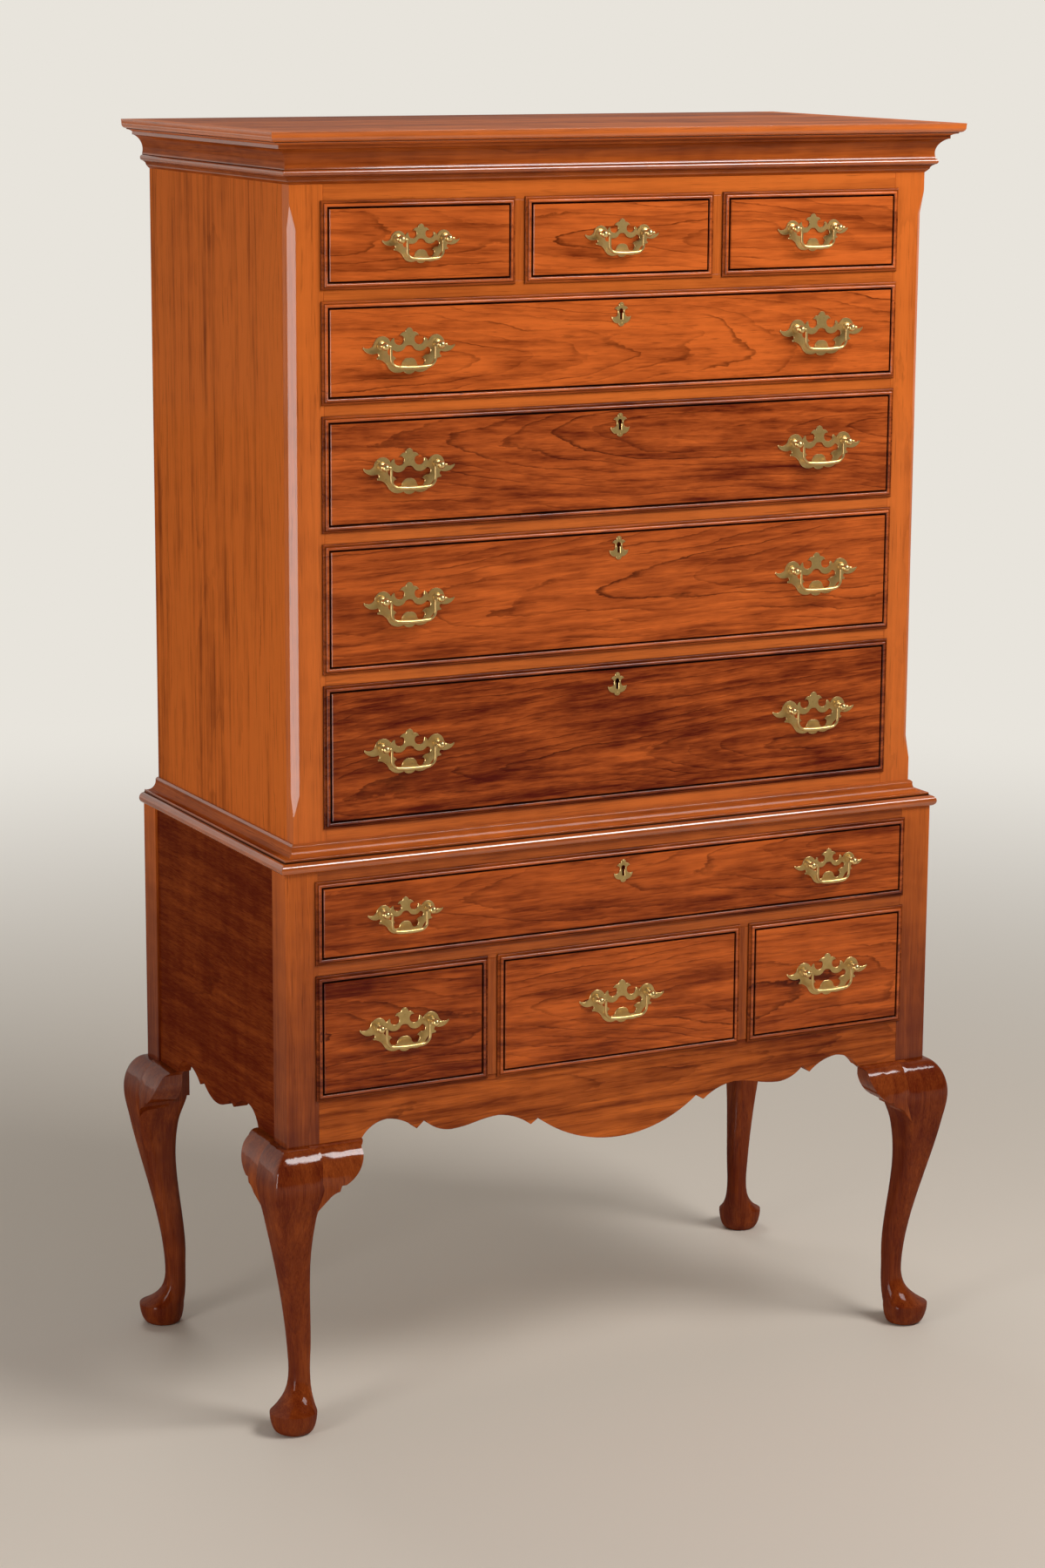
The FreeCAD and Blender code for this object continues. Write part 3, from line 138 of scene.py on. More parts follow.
class HighboyBrass(bpy.types.PropertyGroup):
    """Colours of the brasses"""
    bright: colour("Bright", "Brass where it is rubbed", (230, 199, 134))
    dull: colour("Dull", "Brass under its patina", (170, 136, 72))
    tarnish: colour("Tarnish", "Darkest patina, in the corners", (58, 40, 20))


class HighboyStudio(bpy.types.PropertyGroup):
    """Camera, floor and lights"""
    camera_place: bpy.props.FloatVectorProperty(
        name="Camera place", description="Where the camera stands",
        default=(-2.291, -4.4362, 1.8307), size=3, unit="LENGTH", subtype="TRANSLATION")
    camera_turn: bpy.props.FloatVectorProperty(
        name="Camera turn", description="How the camera is turned",
        default=tuple(math.radians(angle) for angle in (78.0135, -0.3083, -27.0183)),
        size=3, unit="ROTATION", subtype="EULER")
    focal_length: bpy.props.FloatProperty(
        name="Focal length", description="Lens, over a sensor 36 mm tall", default=86.0,
        unit="CAMERA")
    floor_colour: colour("Floor", "Pale studio floor", (222, 211, 197))
    backdrop: colour("Backdrop", "Pale wall behind", (232, 228, 220))


GROUPS = {
    "highboy_wood": HighboyWood,
    "highboy_shapes": HighboyShapes,
    "highboy_brass": HighboyBrass,
    "highboy_studio": HighboyStudio,
}


# ---------------------------------------------------------------- shader building

class Flow:
    """A shader socket that takes part in Python sums: each sum adds its Math node."""

    def __init__(self, graph, socket):
        self.graph = graph
        self.socket = socket

    def math(self, operation, *others):
        sockets = dict(enumerate((self,) + others))
        return self.graph.node("ShaderNodeMath", {"operation": operation}, sockets)

    def __add__(self, other):
        return self.math("ADD", other)

    __radd__ = __add__

    def __mul__(self, other):
        return self.math("MULTIPLY", other)

    def __sub__(self, other):
        return self.math("SUBTRACT", other)

    def __rsub__(self, other):
        return self.graph.node("ShaderNodeMath", {"operation": "SUBTRACT"}, {0: other, 1: self})

    def __truediv__(self, other):
        return self.math("DIVIDE", other)

    def ramped(self, start, end):
        """Nothing below start, all above end, and smooth between them."""
        return self.graph.node("ShaderNodeMapRange", {"interpolation_type": "SMOOTHSTEP"},
                               {"Value": self, "From Min": start, "From Max": end})


class Graph:
    """The node tree of a material or of the world."""

    def __init__(self, tree):
        self.tree = tree
        tree.nodes.clear()

    def node(self, kind, settings, sockets, out=0):
        """One node: its settings are set first, then its sockets get values or links."""
        node = self.tree.nodes.new(kind)
        for key, value in settings.items():
            setattr(node, key, value)
        for key, value in sockets.items():
            if isinstance(value, Flow):
                self.tree.links.new(value.socket, node.inputs[key])
            else:
                node.inputs[key].default_value = value
        return Flow(self, node.outputs[out]) if len(node.outputs) else None

    def attribute(self, name, out="Fac"):
        return self.node("ShaderNodeAttribute", {"attribute_name": name}, {}, out)

    def noise(self, vector, scale, offset, detail, roughness=0.5):
        """Soft noise from 0 to 1 over a vector stretched by scale and moved by offset."""
        place = self.node("ShaderNodeVectorMath", {"operation": "MULTIPLY_ADD"},
                          {0: vector, 1: scale, 2: offset})
        return self.node("ShaderNodeTexNoise", {}, {
            "Vector": place, "Scale": 1.0, "Detail": detail, "Roughness": roughness})

    def mix(self, factor, first, second):
        """A colour between two."""
        return self.node("ShaderNodeMix", {"data_type": "RGBA"},
                         {0: factor, 6: first, 7: second}, 2)


def opaque(value):
    """A colour property with its alpha."""
    return (value[0], value[1], value[2], 1.0)


def new_material(name):
    """An empty material and its graph."""
    material = bpy.data.materials.new(name)
    material.use_nodes = True
    return material, Graph(material.node_tree)


def finish_material(graph, sockets):
    """A Principled shader with these sockets, led to the output."""
    shader = graph.node("ShaderNodeBsdfPrincipled", {}, sockets)
    graph.node("ShaderNodeOutputMaterial", {}, {"Surface": shader})


def wood(name, tones, rings, streaks, roughness, polish, stave):
    """Wood cut from a log: growth rings round a pith line, fibres along the grain.

    The attribute grain holds the place in the log in metres, x along the pith;
    stain deepens the tone, a third attribute darkens creases and corners with dark
    glaze and painted shade, and gloss adds polish. stave is the width of the strips
    that the board is glued up from.
    """
    look = bpy.context.scene.highboy_wood
    coat = getattr(look, polish) if polish else 0.0
    made, graph = new_material(name)
    log = graph.attribute("grain", "Vector")
    stain = graph.attribute("stain")
    glaze = graph.attribute("glaze")
    gloss = graph.attribute("gloss")
    across = graph.node("ShaderNodeSeparateXYZ", {}, {0: log}, "Y")
    depth = Flow(graph, across.socket.node.outputs["Z"])
    strip = (across / stave + 0.37).math("FLOOR")
    strip_tone = graph.node("ShaderNodeTexWhiteNoise", {"noise_dimensions": "1D"}, {"W": strip})

    wander_across = graph.noise(log, (2.1, 8.0, 8.0), (3.1, 0.0, 0.0), 2.0) - 0.5
    wander_deep = graph.noise(log, (2.9, 11.0, 11.0), (0.0, 7.7, 0.0), 2.0) - 0.5
    side = across + wander_across * 0.06
    deep_place = depth + wander_deep * 0.040 + strip_tone * 0.02
    radius = (side * side + deep_place * deep_place).math("SQRT")
    ripple = graph.noise(log, (13.0, 55.0, 55.0), (0.0, 0.0, 2.2), 3.0, 0.65) - 0.5
    jag = graph.noise(log, (120.0, 240.0, 240.0), (5.0, 0.0, 0.0), 2.0) - 0.5
    growth = (radius + ripple * 0.0060 + jag * 0.0011) / look.ring_spacing
    phase = growth.math("FRACT")
    year = growth.math("FLOOR")
    strength = graph.node("ShaderNodeTexWhiteNoise", {"noise_dimensions": "1D"}, {"W": year})
    patch = graph.noise(log, (7.0, 26.0, 26.0), (1.0, 4.0, 0.0), 2.0)
    thin = phase.ramped(0.80, 0.95) * (1.0 - phase.ramped(0.96, 1.0))
    line = thin * strength * patch.ramped(0.36, 0.60)

    fibre = graph.noise(log, (18.0, 900.0, 900.0), (0.0, 0.0, 0.0), 2.0, 0.6) - 0.5
    thread = graph.noise(log, (5.0, 240.0, 240.0), (4.0, 0.0, 0.0), 2.0, 0.6) - 0.5
    streak = graph.noise(log, (2.2, 75.0, 75.0), (9.0, 0.0, 0.0), 3.0, 0.6) - 0.5
    smudge = graph.noise(log, (9.0, 48.0, 48.0), (0.0, 2.0, 6.0), 3.0, 0.6) - 0.5
    cloud = graph.noise(log, (3.0, 14.0, 14.0), (0.0, 2.0, 6.0), 2.0) - 0.5
    shimmer = graph.noise(log, (38.0, 12.0, 12.0), (2.0, 0.0, 1.0), 1.0) - 0.5
    pores = graph.noise(log, (16.0, 420.0, 420.0), (0.0, 8.0, 3.0), 2.0, 0.5).ramped(0.60, 0.74)

    tone = (stain + (strip_tone - 0.5) * 0.26 * streaks
            + (streak * 0.95 + thread * 0.42 + smudge * 0.62 + cloud * 0.50) * streaks
            + shimmer * 0.20 + fibre * 0.42 + phase * 0.16 * rings - 0.06)
    ground = graph.mix(tone.ramped(-0.15, 1.15), opaque(getattr(look, tones + "_pale")),
                       opaque(getattr(look, tones + "_deep")))
    ringed = graph.mix(line * rings, ground, opaque(look.ring_colour))
    porous = graph.mix(pores * 0.35, ringed, opaque(look.ring_colour))
    # Creases and corners darkened: dark old glaze and painted shade.
    shaded_and_glazed = graph.mix(glaze, porous, opaque(look.glaze_and_shade_colour))

    height = fibre * 0.5 - line * 0.3 - pores * 0.4
    bump = graph.node("ShaderNodeBump", {}, {
        "Strength": 0.05, "Distance": 0.0006, "Height": height})
    finish_material(graph, {
        "Base Color": shaded_and_glazed,
        "Roughness": roughness + fibre * 0.08 + cloud * 0.06,
        "Coat Weight": (gloss * (1.0 - coat) + coat) * (1.0 - glaze * 0.85) if coat else 0.0,
        "Coat Roughness": 0.09, "Coat IOR": 1.8, "Specular IOR Level": 0.0, "Normal": bump})
    return made


def brass(name, rub):
    """Aged brass: rubbed bright on the outer curves, dull where it is not touched."""
    look = bpy.context.scene.highboy_brass
    made, graph = new_material(name)
    place = graph.node("ShaderNodeTexCoord", {}, {}, "Object")
    cloud = graph.noise(place, (90.0, 90.0, 90.0), (0.0, 0.0, 0.0), 3.0, 0.6)
    grit = graph.noise(place, (900.0, 900.0, 900.0), (1.0, 2.0, 3.0), 2.0, 0.6)
    worn = (graph.attribute("worn") * 0.6 + rub + (cloud - 0.5) * 0.45 + (grit - 0.5) * 0.12)
    spots = graph.noise(place, (330.0, 330.0, 330.0), (5.0, 1.0, 0.0), 2.0, 0.5).ramped(0.62, 0.75)
    metal = graph.mix(worn.ramped(0.0, 1.0), opaque(look.dull), opaque(look.bright))
    spotted = graph.mix(spots * 0.20, metal, opaque(look.tarnish))
    bump = graph.node("ShaderNodeBump", {}, {"Strength": 0.12, "Distance": 0.0004, "Height": grit})
    finish_material(graph, {
        "Base Color": spotted, "Metallic": 0.85,
        "Roughness": 0.46 - worn.ramped(0.0, 1.0) * 0.20 + spots * 0.1 + (grit - 0.5) * 0.08,
        "Normal": bump})
    return made


# tones, weights of the rings and streaks, roughness, polish and width of the strips
WOODS = {
    "case_cherry": ("case", 0.55, 1.25, 0.34, "polish", 0.105),
    "side_cherry": ("case", 0.55, 1.60, 0.38, "side_polish", 0.105),
    "deep_cherry": ("case", 0.25, 0.50, 0.38, "side_polish", 1.0),
    "leg_cherry": ("case", 0.25, 0.50, 0.34, "leg_polish", 1.0),
    "straight_cherry": ("case", 0.30, 0.75, 0.30, "frame_polish", 1.0),
    "moulding_cherry": ("case", 0.30, 0.70, 0.30, "moulding_polish", 1.0),
    "front_cherry": ("front", 0.80, 1.30, 0.32, "polish", 1.0),
    "inside_wood": ("pine", 0.25, 0.80, 0.62, None, 1.0),
}
RUBBED = {"plate_brass": 0.40, "bail_brass": 0.68}
MADE = {}


def material(name):
    """The finish of that name, made when it is first asked for."""
    if name not in MADE:
        MADE[name] = brass(name, RUBBED[name]) if name in RUBBED else wood(name, *WOODS[name])
    return MADE[name]


# ---------------------------------------------------------------- modelling

def deselect():
    if bpy.context.object and bpy.context.object.mode != "OBJECT":
        bpy.ops.object.mode_set(mode="OBJECT")
    bpy.ops.object.select_all(action="DESELECT")


def only(piece):
    """Make this the one selected and active object."""
    deselect()
    piece.select_set(True)
    bpy.context.view_layer.objects.active = piece


@contextlib.contextmanager
def editing(piece, wanted=None, kind="FACE"):
    """Edit mode on one piece, with the faces or edges that pass the test selected."""
    only(piece)
    mesh = piece.data
    if wanted:
        parts = mesh.polygons if kind == "FACE" else mesh.edges
        chosen = [part.index for part in parts if wanted(part)]
        for every in (mesh.polygons, mesh.edges, mesh.vertices):
            every.foreach_set("select", [False] * len(every))
        for index in chosen:
            parts[index].select = True
    bpy.ops.object.mode_set(mode="EDIT")
    bpy.ops.mesh.select_mode(type=kind)
    if not wanted:
        bpy.ops.mesh.select_all(action="SELECT")
    yield
    bpy.ops.object.mode_set(mode="OBJECT")


def apply_modifier(piece, kind, **settings):
    """Add a modifier, set it and apply it."""
    only(piece)
    modifier = piece.modifiers.new(kind.lower(), kind)
    for key, value in settings.items():
        setattr(modifier, key, value)
    bpy.ops.object.modifier_apply(modifier=modifier.name)


def smooth(piece, degrees=35.0):
    """Smooth shading over curves, with flat faces kept flat."""
    only(piece)
    bpy.ops.object.shade_smooth_by_angle(angle=math.radians(degrees))
    apply_modifier(piece, "WEIGHTED_NORMAL", mode="FACE_AREA", weight=60, keep_sharp=True)


def settle(piece):
    """Put the piece's place and turn into its mesh."""
    only(piece)
    bpy.ops.object.transform_apply(location=True, rotation=True, scale=True)


def cuboid(middle, size):
    """A box of that size round its middle."""
    deselect()
    bpy.ops.mesh.primitive_cube_add(size=1.0, location=middle, scale=size)
    piece = bpy.context.object
    settle(piece)
    return piece


def joined(piece, *others):
    """Make the other pieces part of this one."""
    only(piece)
    for other in others:
        other.select_set(True)
    bpy.ops.object.join()


def painted(piece, *names):
    """New numbers on the piece's vertices for its finish to read, one list for each name."""
    attributes = piece.data.attributes
    for name in names:
        attributes.new(name, "FLOAT", "POINT")
    return [attributes[name].data for name in names]


def new_piece(name, points, edges, faces):
    mesh = bpy.data.meshes.new(name)
    mesh.from_pydata(points, edges, faces)
    mesh.validate()
    piece = bpy.data.objects.new(name, mesh)
    bpy.context.scene.collection.objects.link(piece)
    return piece


def solids_of(node):
    """The closed solids of a CAD node, each a list of faces of corner places."""
    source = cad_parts[node].data
    places = [tuple(round(value, 6) for value in vertex.co) for vertex in source.vertices]
    solids = []
    faces = []
    loose_edges = set()
    for face in source.polygons:
        corners = [places[index] for index in face.vertices]
        faces.append(corners)
        for start, end in zip(corners, corners[1:] + corners[:1]):
            if (end, start) in loose_edges:
                loose_edges.remove((end, start))
            elif start != end:
                loose_edges.add((start, end))
        if not loose_edges:
            solids.append(faces)
            faces = []
    if faces:
        solids.append(faces)
    return solids


def merged_copy(name, solids):
    """One piece of several solids, with the corners merged within each solid."""
    points = []
    polygons = []
    for faces in solids:
        known = {}
        for corners in faces:
            polygon = []
            for corner in corners:
                if corner not in known:
                    known[corner] = len(points)
                    points.append(corner)
                if known[corner] not in polygon:
                    polygon.append(known[corner])
            if len(polygon) > 2:
                polygons.append(polygon)
    return new_piece(name, points, [], polygons)


def eased(piece, arris):
    """Join the triangles of flat faces and ease the sharp edges."""
    with editing(piece):
        bpy.ops.mesh.dissolve_limited(angle_limit=FLAT)
    apply_modifier(piece, "BEVEL", width=arris, segments=2, limit_method="ANGLE",
                   angle_limit=math.radians(30.0), harden_normals=False)
    smooth(piece)


def islands(mesh):
    """Lists of the vertices that hang together."""
    parent = list(range(len(mesh.vertices)))

    def root(index):
        while parent[index] != index:
            parent[index] = parent[parent[index]]
            index = parent[index]
        return index

    for edge in mesh.edges:
        first, second = (root(index) for index in edge.vertices)
        if first != second:
            parent[first] = second
    groups = {}
    for index in range(len(parent)):
        groups.setdefault(root(index), []).append(index)
    return list(groups.values())


def box_of(points):
    low = Vector([min(point[axis] for point in points) for axis in range(3)])
    high = Vector([max(point[axis] for point in points) for axis in range(3)])
    return low, high


def lay_grain(piece, key, stain=0.4, flat=False, along=None, whole=False):
    """Say where in its log each board of the piece lay.

    Flat boards are sawn near the pith, so their rings arch; others are sawn far
    from it. along forces the direction of the grain, and whole takes the piece
    as one board.
    """
    mesh = piece.data
    draw = random.Random(key)
    mesh.attributes.new("grain", "FLOAT_VECTOR", "POINT")
    tone = painted(piece, "stain")[0]
    grain = mesh.attributes["grain"].data
    boards = [list(range(len(mesh.vertices)))] if whole else islands(mesh)
    boards.sort(key=lambda board: tuple(round(value, 4) for value in mesh.vertices[board[0]].co))
    for board in boards:
        low, high = box_of([mesh.vertices[index].co for index in board])
        middle = (low + high) / 2
        size = high - low
        order = sorted(range(3), key=lambda axis: -size[axis])
        if along is not None:
            order.remove(along)
            order.insert(0, along)
        shift = draw.uniform(0.0, 40.0)
        if flat:
            off_across = draw.uniform(-0.22, 0.22) * size[order[1]]
            off_deep = draw.uniform(0.045, 0.075)
            lean_across = draw.uniform(-0.03, 0.03)
            lean_deep = draw.choice((-1, 1)) * draw.uniform(0.035, 0.085)
        else:
            angle = draw.uniform(0.9, 1.9)
            reach = draw.uniform(0.16, 0.30)
            off_across = reach * math.cos(angle)
            off_deep = reach * math.sin(angle)
            lean_across = draw.uniform(-0.01, 0.01)
            lean_deep = draw.uniform(-0.012, 0.012)
        shade = min(1.0, max(0.0, stain + draw.uniform(-0.05, 0.05)))
        for index in board:
            place = mesh.vertices[index].co - middle
            run = place[order[0]]
            grain[index].vector = (run + shift,
                                   place[order[1]] + off_across + lean_across * run,
                                   place[order[2]] + off_deep + lean_deep * run)
            tone[index].value = shade


def finished(piece, body, slot, finish, *nodes):
    """Give the piece its finish, let it ride on its body and stand for its CAD nodes."""
    piece.data.materials.clear()
    piece.data.materials.append(material(finish))
    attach(piece, body)
    if nodes:
        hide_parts(*nodes)


def shade_creases_polish_noses(piece):
    """Painted shade and dark old glaze in a moulding's hollow creases; polish stays on its noses.
    """
    mesh = piece.data
    glaze, gloss = painted(piece, "glaze", "gloss")
    sides = {}
    for face in mesh.polygons:
        for key in face.edge_keys:
            sides.setdefault(key, []).append(face)
    for key, faces in sides.items():
        start, end = (mesh.vertices[index].co for index in key)
        run = (end - start).length
        if len(faces) != 2 or run < TOUCHING:
            continue
        first, second = faces
        width = (first.area + second.area) / 2 / run
        bend = first.normal.angle(second.normal, 0.0) / max(width / MM, 0.05)
        # Hollow creases get painted shade with dark glaze, darker the sharper they bend; sharp
        # noses get polish.
        hollow = (second.center - first.center).dot(first.normal) > 0
        shade_and_glaze = min(1.0, max(0.0, bend - 0.15) / 0.35)
        for index in key:
            if hollow:
                glaze[index].value = max(glaze[index].value, shade_and_glaze)
            elif bend > 0.1:
                gloss[index].value = 1.0


def polish_chamfers(piece):
    """The chamfers of the stiles are rubbed brighter than their faces."""
    gloss = painted(piece, "gloss")[0]
    for face in piece.data.polygons:
        if abs(face.normal.x) > 0.6 and face.normal.y < -0.6:
            for index in face.vertices:
                gloss[index].value = 0.25


def boards(node, finish, arris, slot="case_wood", **grain):
    """Dress a CAD node whose solids are boards or lengths of moulding."""
    piece = merged_copy(node + "_wood", solids_of(node))
    eased(piece, arris)
    lay_grain(piece, node, **grain)
    finished(piece, "case", slot, finish, node)
    return piece


# ---------------------------------------------------------------- drawers

DRAWER_STAIN = {"top_left": 0.32, "top_centre": 0.20, "top_right": 0.28, "second": 0.29,
                "third": 0.42, "fourth": 0.40, "fifth": 0.61, "lower_long": 0.46,
                "bottom_left": 0.61, "bottom_centre": 0.39, "bottom_right": 0.47}


def lip_steps(shapes):
    """The lip's section from its outer edge to the field, as (inward, proud) places."""
    start = shapes.bead_start
    radius = shapes.bead_radius
    middle = start + radius
    spring = shapes.lip_fillet - 0.1 * MM
    round_over = start - 0.9 * MM
    rise = shapes.lip_fillet - shapes.lip_edge
    steps = []
    for facet in range(1, 5):
        turn = math.pi / 2 * facet / 4
        steps.append((round_over * (1 - math.cos(turn)), shapes.lip_edge + rise * math.sin(turn)))
    steps.append((start - 0.6 * MM, shapes.lip_fillet))
    steps.append((start - 0.3 * MM, spring - 0.5 * MM))
    facets = 8
    for facet in range(facets + 1):
        turn = math.pi * facet / facets
        steps.append((middle - radius * math.cos(turn), spring + radius * math.sin(turn)))
    floor = middle + radius + 0.2 * MM
    wall = floor + shapes.quirk_width
    steps += [(floor, shapes.quirk_floor), (wall, shapes.quirk_floor),
              (wall + 0.3 * MM, shapes.lip_proud - 0.7 * MM),
              (wall + 1.0 * MM, shapes.lip_proud)]
    return steps


def lipped_slab(name, low, high):
    """The lip, bead, quirk and field of a drawer front, inset step by step from a block."""
    shapes = bpy.context.scene.highboy_shapes
    back = low.y + shapes.lip_proud
    front = back - shapes.lip_edge
    slab = cuboid(((low.x + high.x) / 2, (front + back) / 2, (low.z + high.z) / 2),
                  (high.x - low.x, back - front, high.z - low.z))
    slab.name = name
    with editing(slab, lambda face: face.normal.y < -0.9):
        inward = 0.0
        proud = shapes.lip_edge
        for step_in, step_out in lip_steps(shapes):
            bpy.ops.mesh.inset(thickness=step_in - inward, depth=step_out - proud,
                               use_even_offset=True)
            inward = step_in
            proud = step_out
    return slab


def shade_and_glaze_lip(slab, low, high):
    """Painted shade and glaze in the quirk, behind the bead and at the edge; polish on the bead.
    """
    shapes = bpy.context.scene.highboy_shapes
    back = low.y + shapes.lip_proud
    quirk = shapes.bead_start + 2 * shapes.bead_radius
    rubbed = quirk + shapes.quirk_width + 0.9 * MM
    glaze, gloss = painted(slab, "glaze", "gloss")
    for vertex in slab.data.vertices:
        inward = min(vertex.co.x - low.x, high.x - vertex.co.x,
                     vertex.co.z - low.z, high.z - vertex.co.z)
        proud = back - vertex.co.y
        shade_and_glaze = 0.0
        # Painted shade with dark glaze: first the quirk's floor, then its sides.
        if inward > quirk - 0.4 * MM and proud < shapes.lip_fillet:
            shade_and_glaze = 1.0
        elif inward > quirk - 1.5 * MM and proud < shapes.lip_proud - 0.8 * MM:
            shade_and_glaze = 0.6
        # Painted shade with dark glaze in the crease behind the bead.
        elif abs(inward - shapes.bead_start + 0.3 * MM) < 0.2 * MM:
            shade_and_glaze = 0.85
        # A painted shadow line along the lip's outer edge.
        elif inward < 0.1 * MM:
            shade_and_glaze = 0.9
        # Painted shade on the bead's lower half.
        elif inward < quirk and proud <= shapes.lip_fillet + shapes.bead_radius * 0.6:
            shade_and_glaze = 0.40
        glaze[vertex.index].value = shade_and_glaze
        if proud > shapes.lip_fillet + shapes.bead_radius * 0.5:
            gloss[vertex.index].value = 0.4 if inward < rubbed else 0.0


def keyhole_cutter(middle, shapes):
    """A round with a slot below it, as deep as the slab."""
    rise = shapes.keyhole_rise
    drop = shapes.keyhole_drop
    through = 20 * MM
    slot_width = 3.6 * MM
    deselect()
    bpy.ops.mesh.primitive_cylinder_add(vertices=24, radius=shapes.keyhole_radius, depth=through,
                                        location=middle + Vector((0.0, 0.0, rise)),
                                        rotation=(math.pi / 2, 0.0, 0.0))
    cutter = bpy.context.object
    settle(cutter)
    slot = cuboid(middle + Vector((0.0, 0.0, (rise - drop) / 2)),
                  (slot_width, through, rise + drop))
    apply_modifier(cutter, "BOOLEAN", object=slot, operation="UNION", solver="EXACT")
    bpy.data.objects.remove(slot)
    return cutter


def drawer_front(name, solid, lock):
    """The lipped front: its core from the frame and a modelled face."""
    shapes = bpy.context.scene.highboy_shapes
    node = "drawer_" + name
    low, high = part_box(node)
    back = low.y + shapes.lip_proud
    core = merged_copy(node + "_core", [solid])
    with editing(core):
        bpy.ops.mesh.dissolve_limited(angle_limit=FLAT)
        bpy.ops.mesh.select_all(action="SELECT")
        bpy.ops.mesh.bisect(plane_co=(0.0, back, 0.0), plane_no=(0.0, 1.0, 0.0),
                            use_fill=True, clear_inner=True)
    slab = lipped_slab(node + "_front", low, high)
    if lock:
        cutter = keyhole_cutter(lock, shapes)
        apply_modifier(slab, "BOOLEAN", object=cutter, operation="DIFFERENCE", solver="EXACT")
        bpy.data.objects.remove(cutter)
    shade_and_glaze_lip(slab, low, high)
    joined(slab, core)
    smooth(slab, 32.0)
    lay_grain(slab, node, stain=DRAWER_STAIN[name], flat=True, along=0, whole=True)
    return slab


def solid_low(solid):
    return min(corner[1] for face in solid for corner in face)


def plate_fronts(name):
    """The front faces of a drawer's plates and escutcheon, as the frame has them."""
    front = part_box("drawer_" + name)[0].y - bpy.context.scene.highboy_shapes.plate_thick
    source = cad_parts["brasses_" + name].data
    places = [tuple(round(value, 5) for value in vertex.co) for vertex in source.vertices]
    fronts = []
    for face in source.polygons:
        corners = [places[index] for index in face.vertices]
        if all(abs(corner[1] - front) < 0.02 * MM for corner in corners):
            fronts.append(corners)
    return fronts


def lock_place(name):
    """The middle of the drawer's escutcheon, if it has one."""
    middle = sum(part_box("drawer_" + name), Vector()) / 2
    corners = [Vector(corner) for face in plate_fronts(name) for corner in face
               if abs(corner[0] - middle.x) < 20 * MM]
    if not corners or len(bails_of(name)) == 1:
        return None
    return sum(box_of(corners), Vector()) / 2


def bails_of(name):
    return sorted(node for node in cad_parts
                  if node in ("bail_" + name, "bail_%s_left" % name, "bail_%s_right" % name))


def small_pull(node):
    """The pulls of the top row and of the lower case's long drawer are the small ones."""
    return "_top_" in node or "_lower_long" in node


def dress_drawer(name):
    node = "drawer_" + name
    solids = sorted(solids_of(node), key=solid_low)
    front = drawer_front(name, solids[0], lock_place(name))
    finished(front, node, "drawer_wood", "front_cherry", node)
    box = merged_copy(node + "_box", solids[1:])
    eased(box, bpy.context.scene.highboy_shapes.arris)
    lay_grain(box, node + "_box", stain=0.4)
    finished(box, node, "secondary_wood", "inside_wood", node)


# ---------------------------------------------------------------- brasses

PIN_RISES = (11.9 * MM, -11.6 * MM)  # of the pins over the escutcheon's middle


def bevelled_plates(name):
    """A drawer's plates and escutcheon, sawn from sheet, with bevelled front edges."""
    shapes = bpy.context.scene.highboy_shapes
    thick = shapes.plate_thick
    bevel = shapes.plate_bevel
    plates = merged_copy("brasses_%s_set" % name, [plate_fronts(name)])
    with editing(plates):
        bpy.ops.mesh.extrude_region_move(TRANSFORM_OT_translate={"value": (0.0, thick, 0.0)})
        bpy.ops.mesh.select_all(action="SELECT")
        bpy.ops.mesh.normals_make_consistent(inside=False)
    with editing(plates, lambda face: face.normal.y < -0.9):
        bpy.ops.transform.translate(value=(0.0, bevel, 0.0))
        bpy.ops.mesh.inset(thickness=bevel, depth=bevel, use_even_offset=False)
    front = min(vertex.co.y for vertex in plates.data.vertices)
    worn = painted(plates, "worn")[0]
    for vertex in plates.data.vertices:
        worn[vertex.index].value = 0.15 if vertex.co.y < front + 0.1 * MM else 0.9
    smooth(plates, 25.0)
    return plates


def spun(name, profile, steps=24):
    """A turned piece along -Y from a profile of (reach, radius) places."""
    points = [(radius, -reach, 0.0) for reach, radius in profile]
    edges = [(index, index + 1) for index in range(len(points) - 1)]
    piece = new_piece(name, points, edges, [])
    with editing(piece):
        bpy.ops.mesh.spin(steps=steps, angle=2 * math.pi, center=(0.0, 0.0, 0.0),
                          axis=(0.0, 1.0, 0.0))
        bpy.ops.mesh.select_all(action="SELECT")
        bpy.ops.mesh.remove_doubles(threshold=TOUCHING)
        bpy.ops.mesh.normals_make_consistent(inside=False)
    return piece


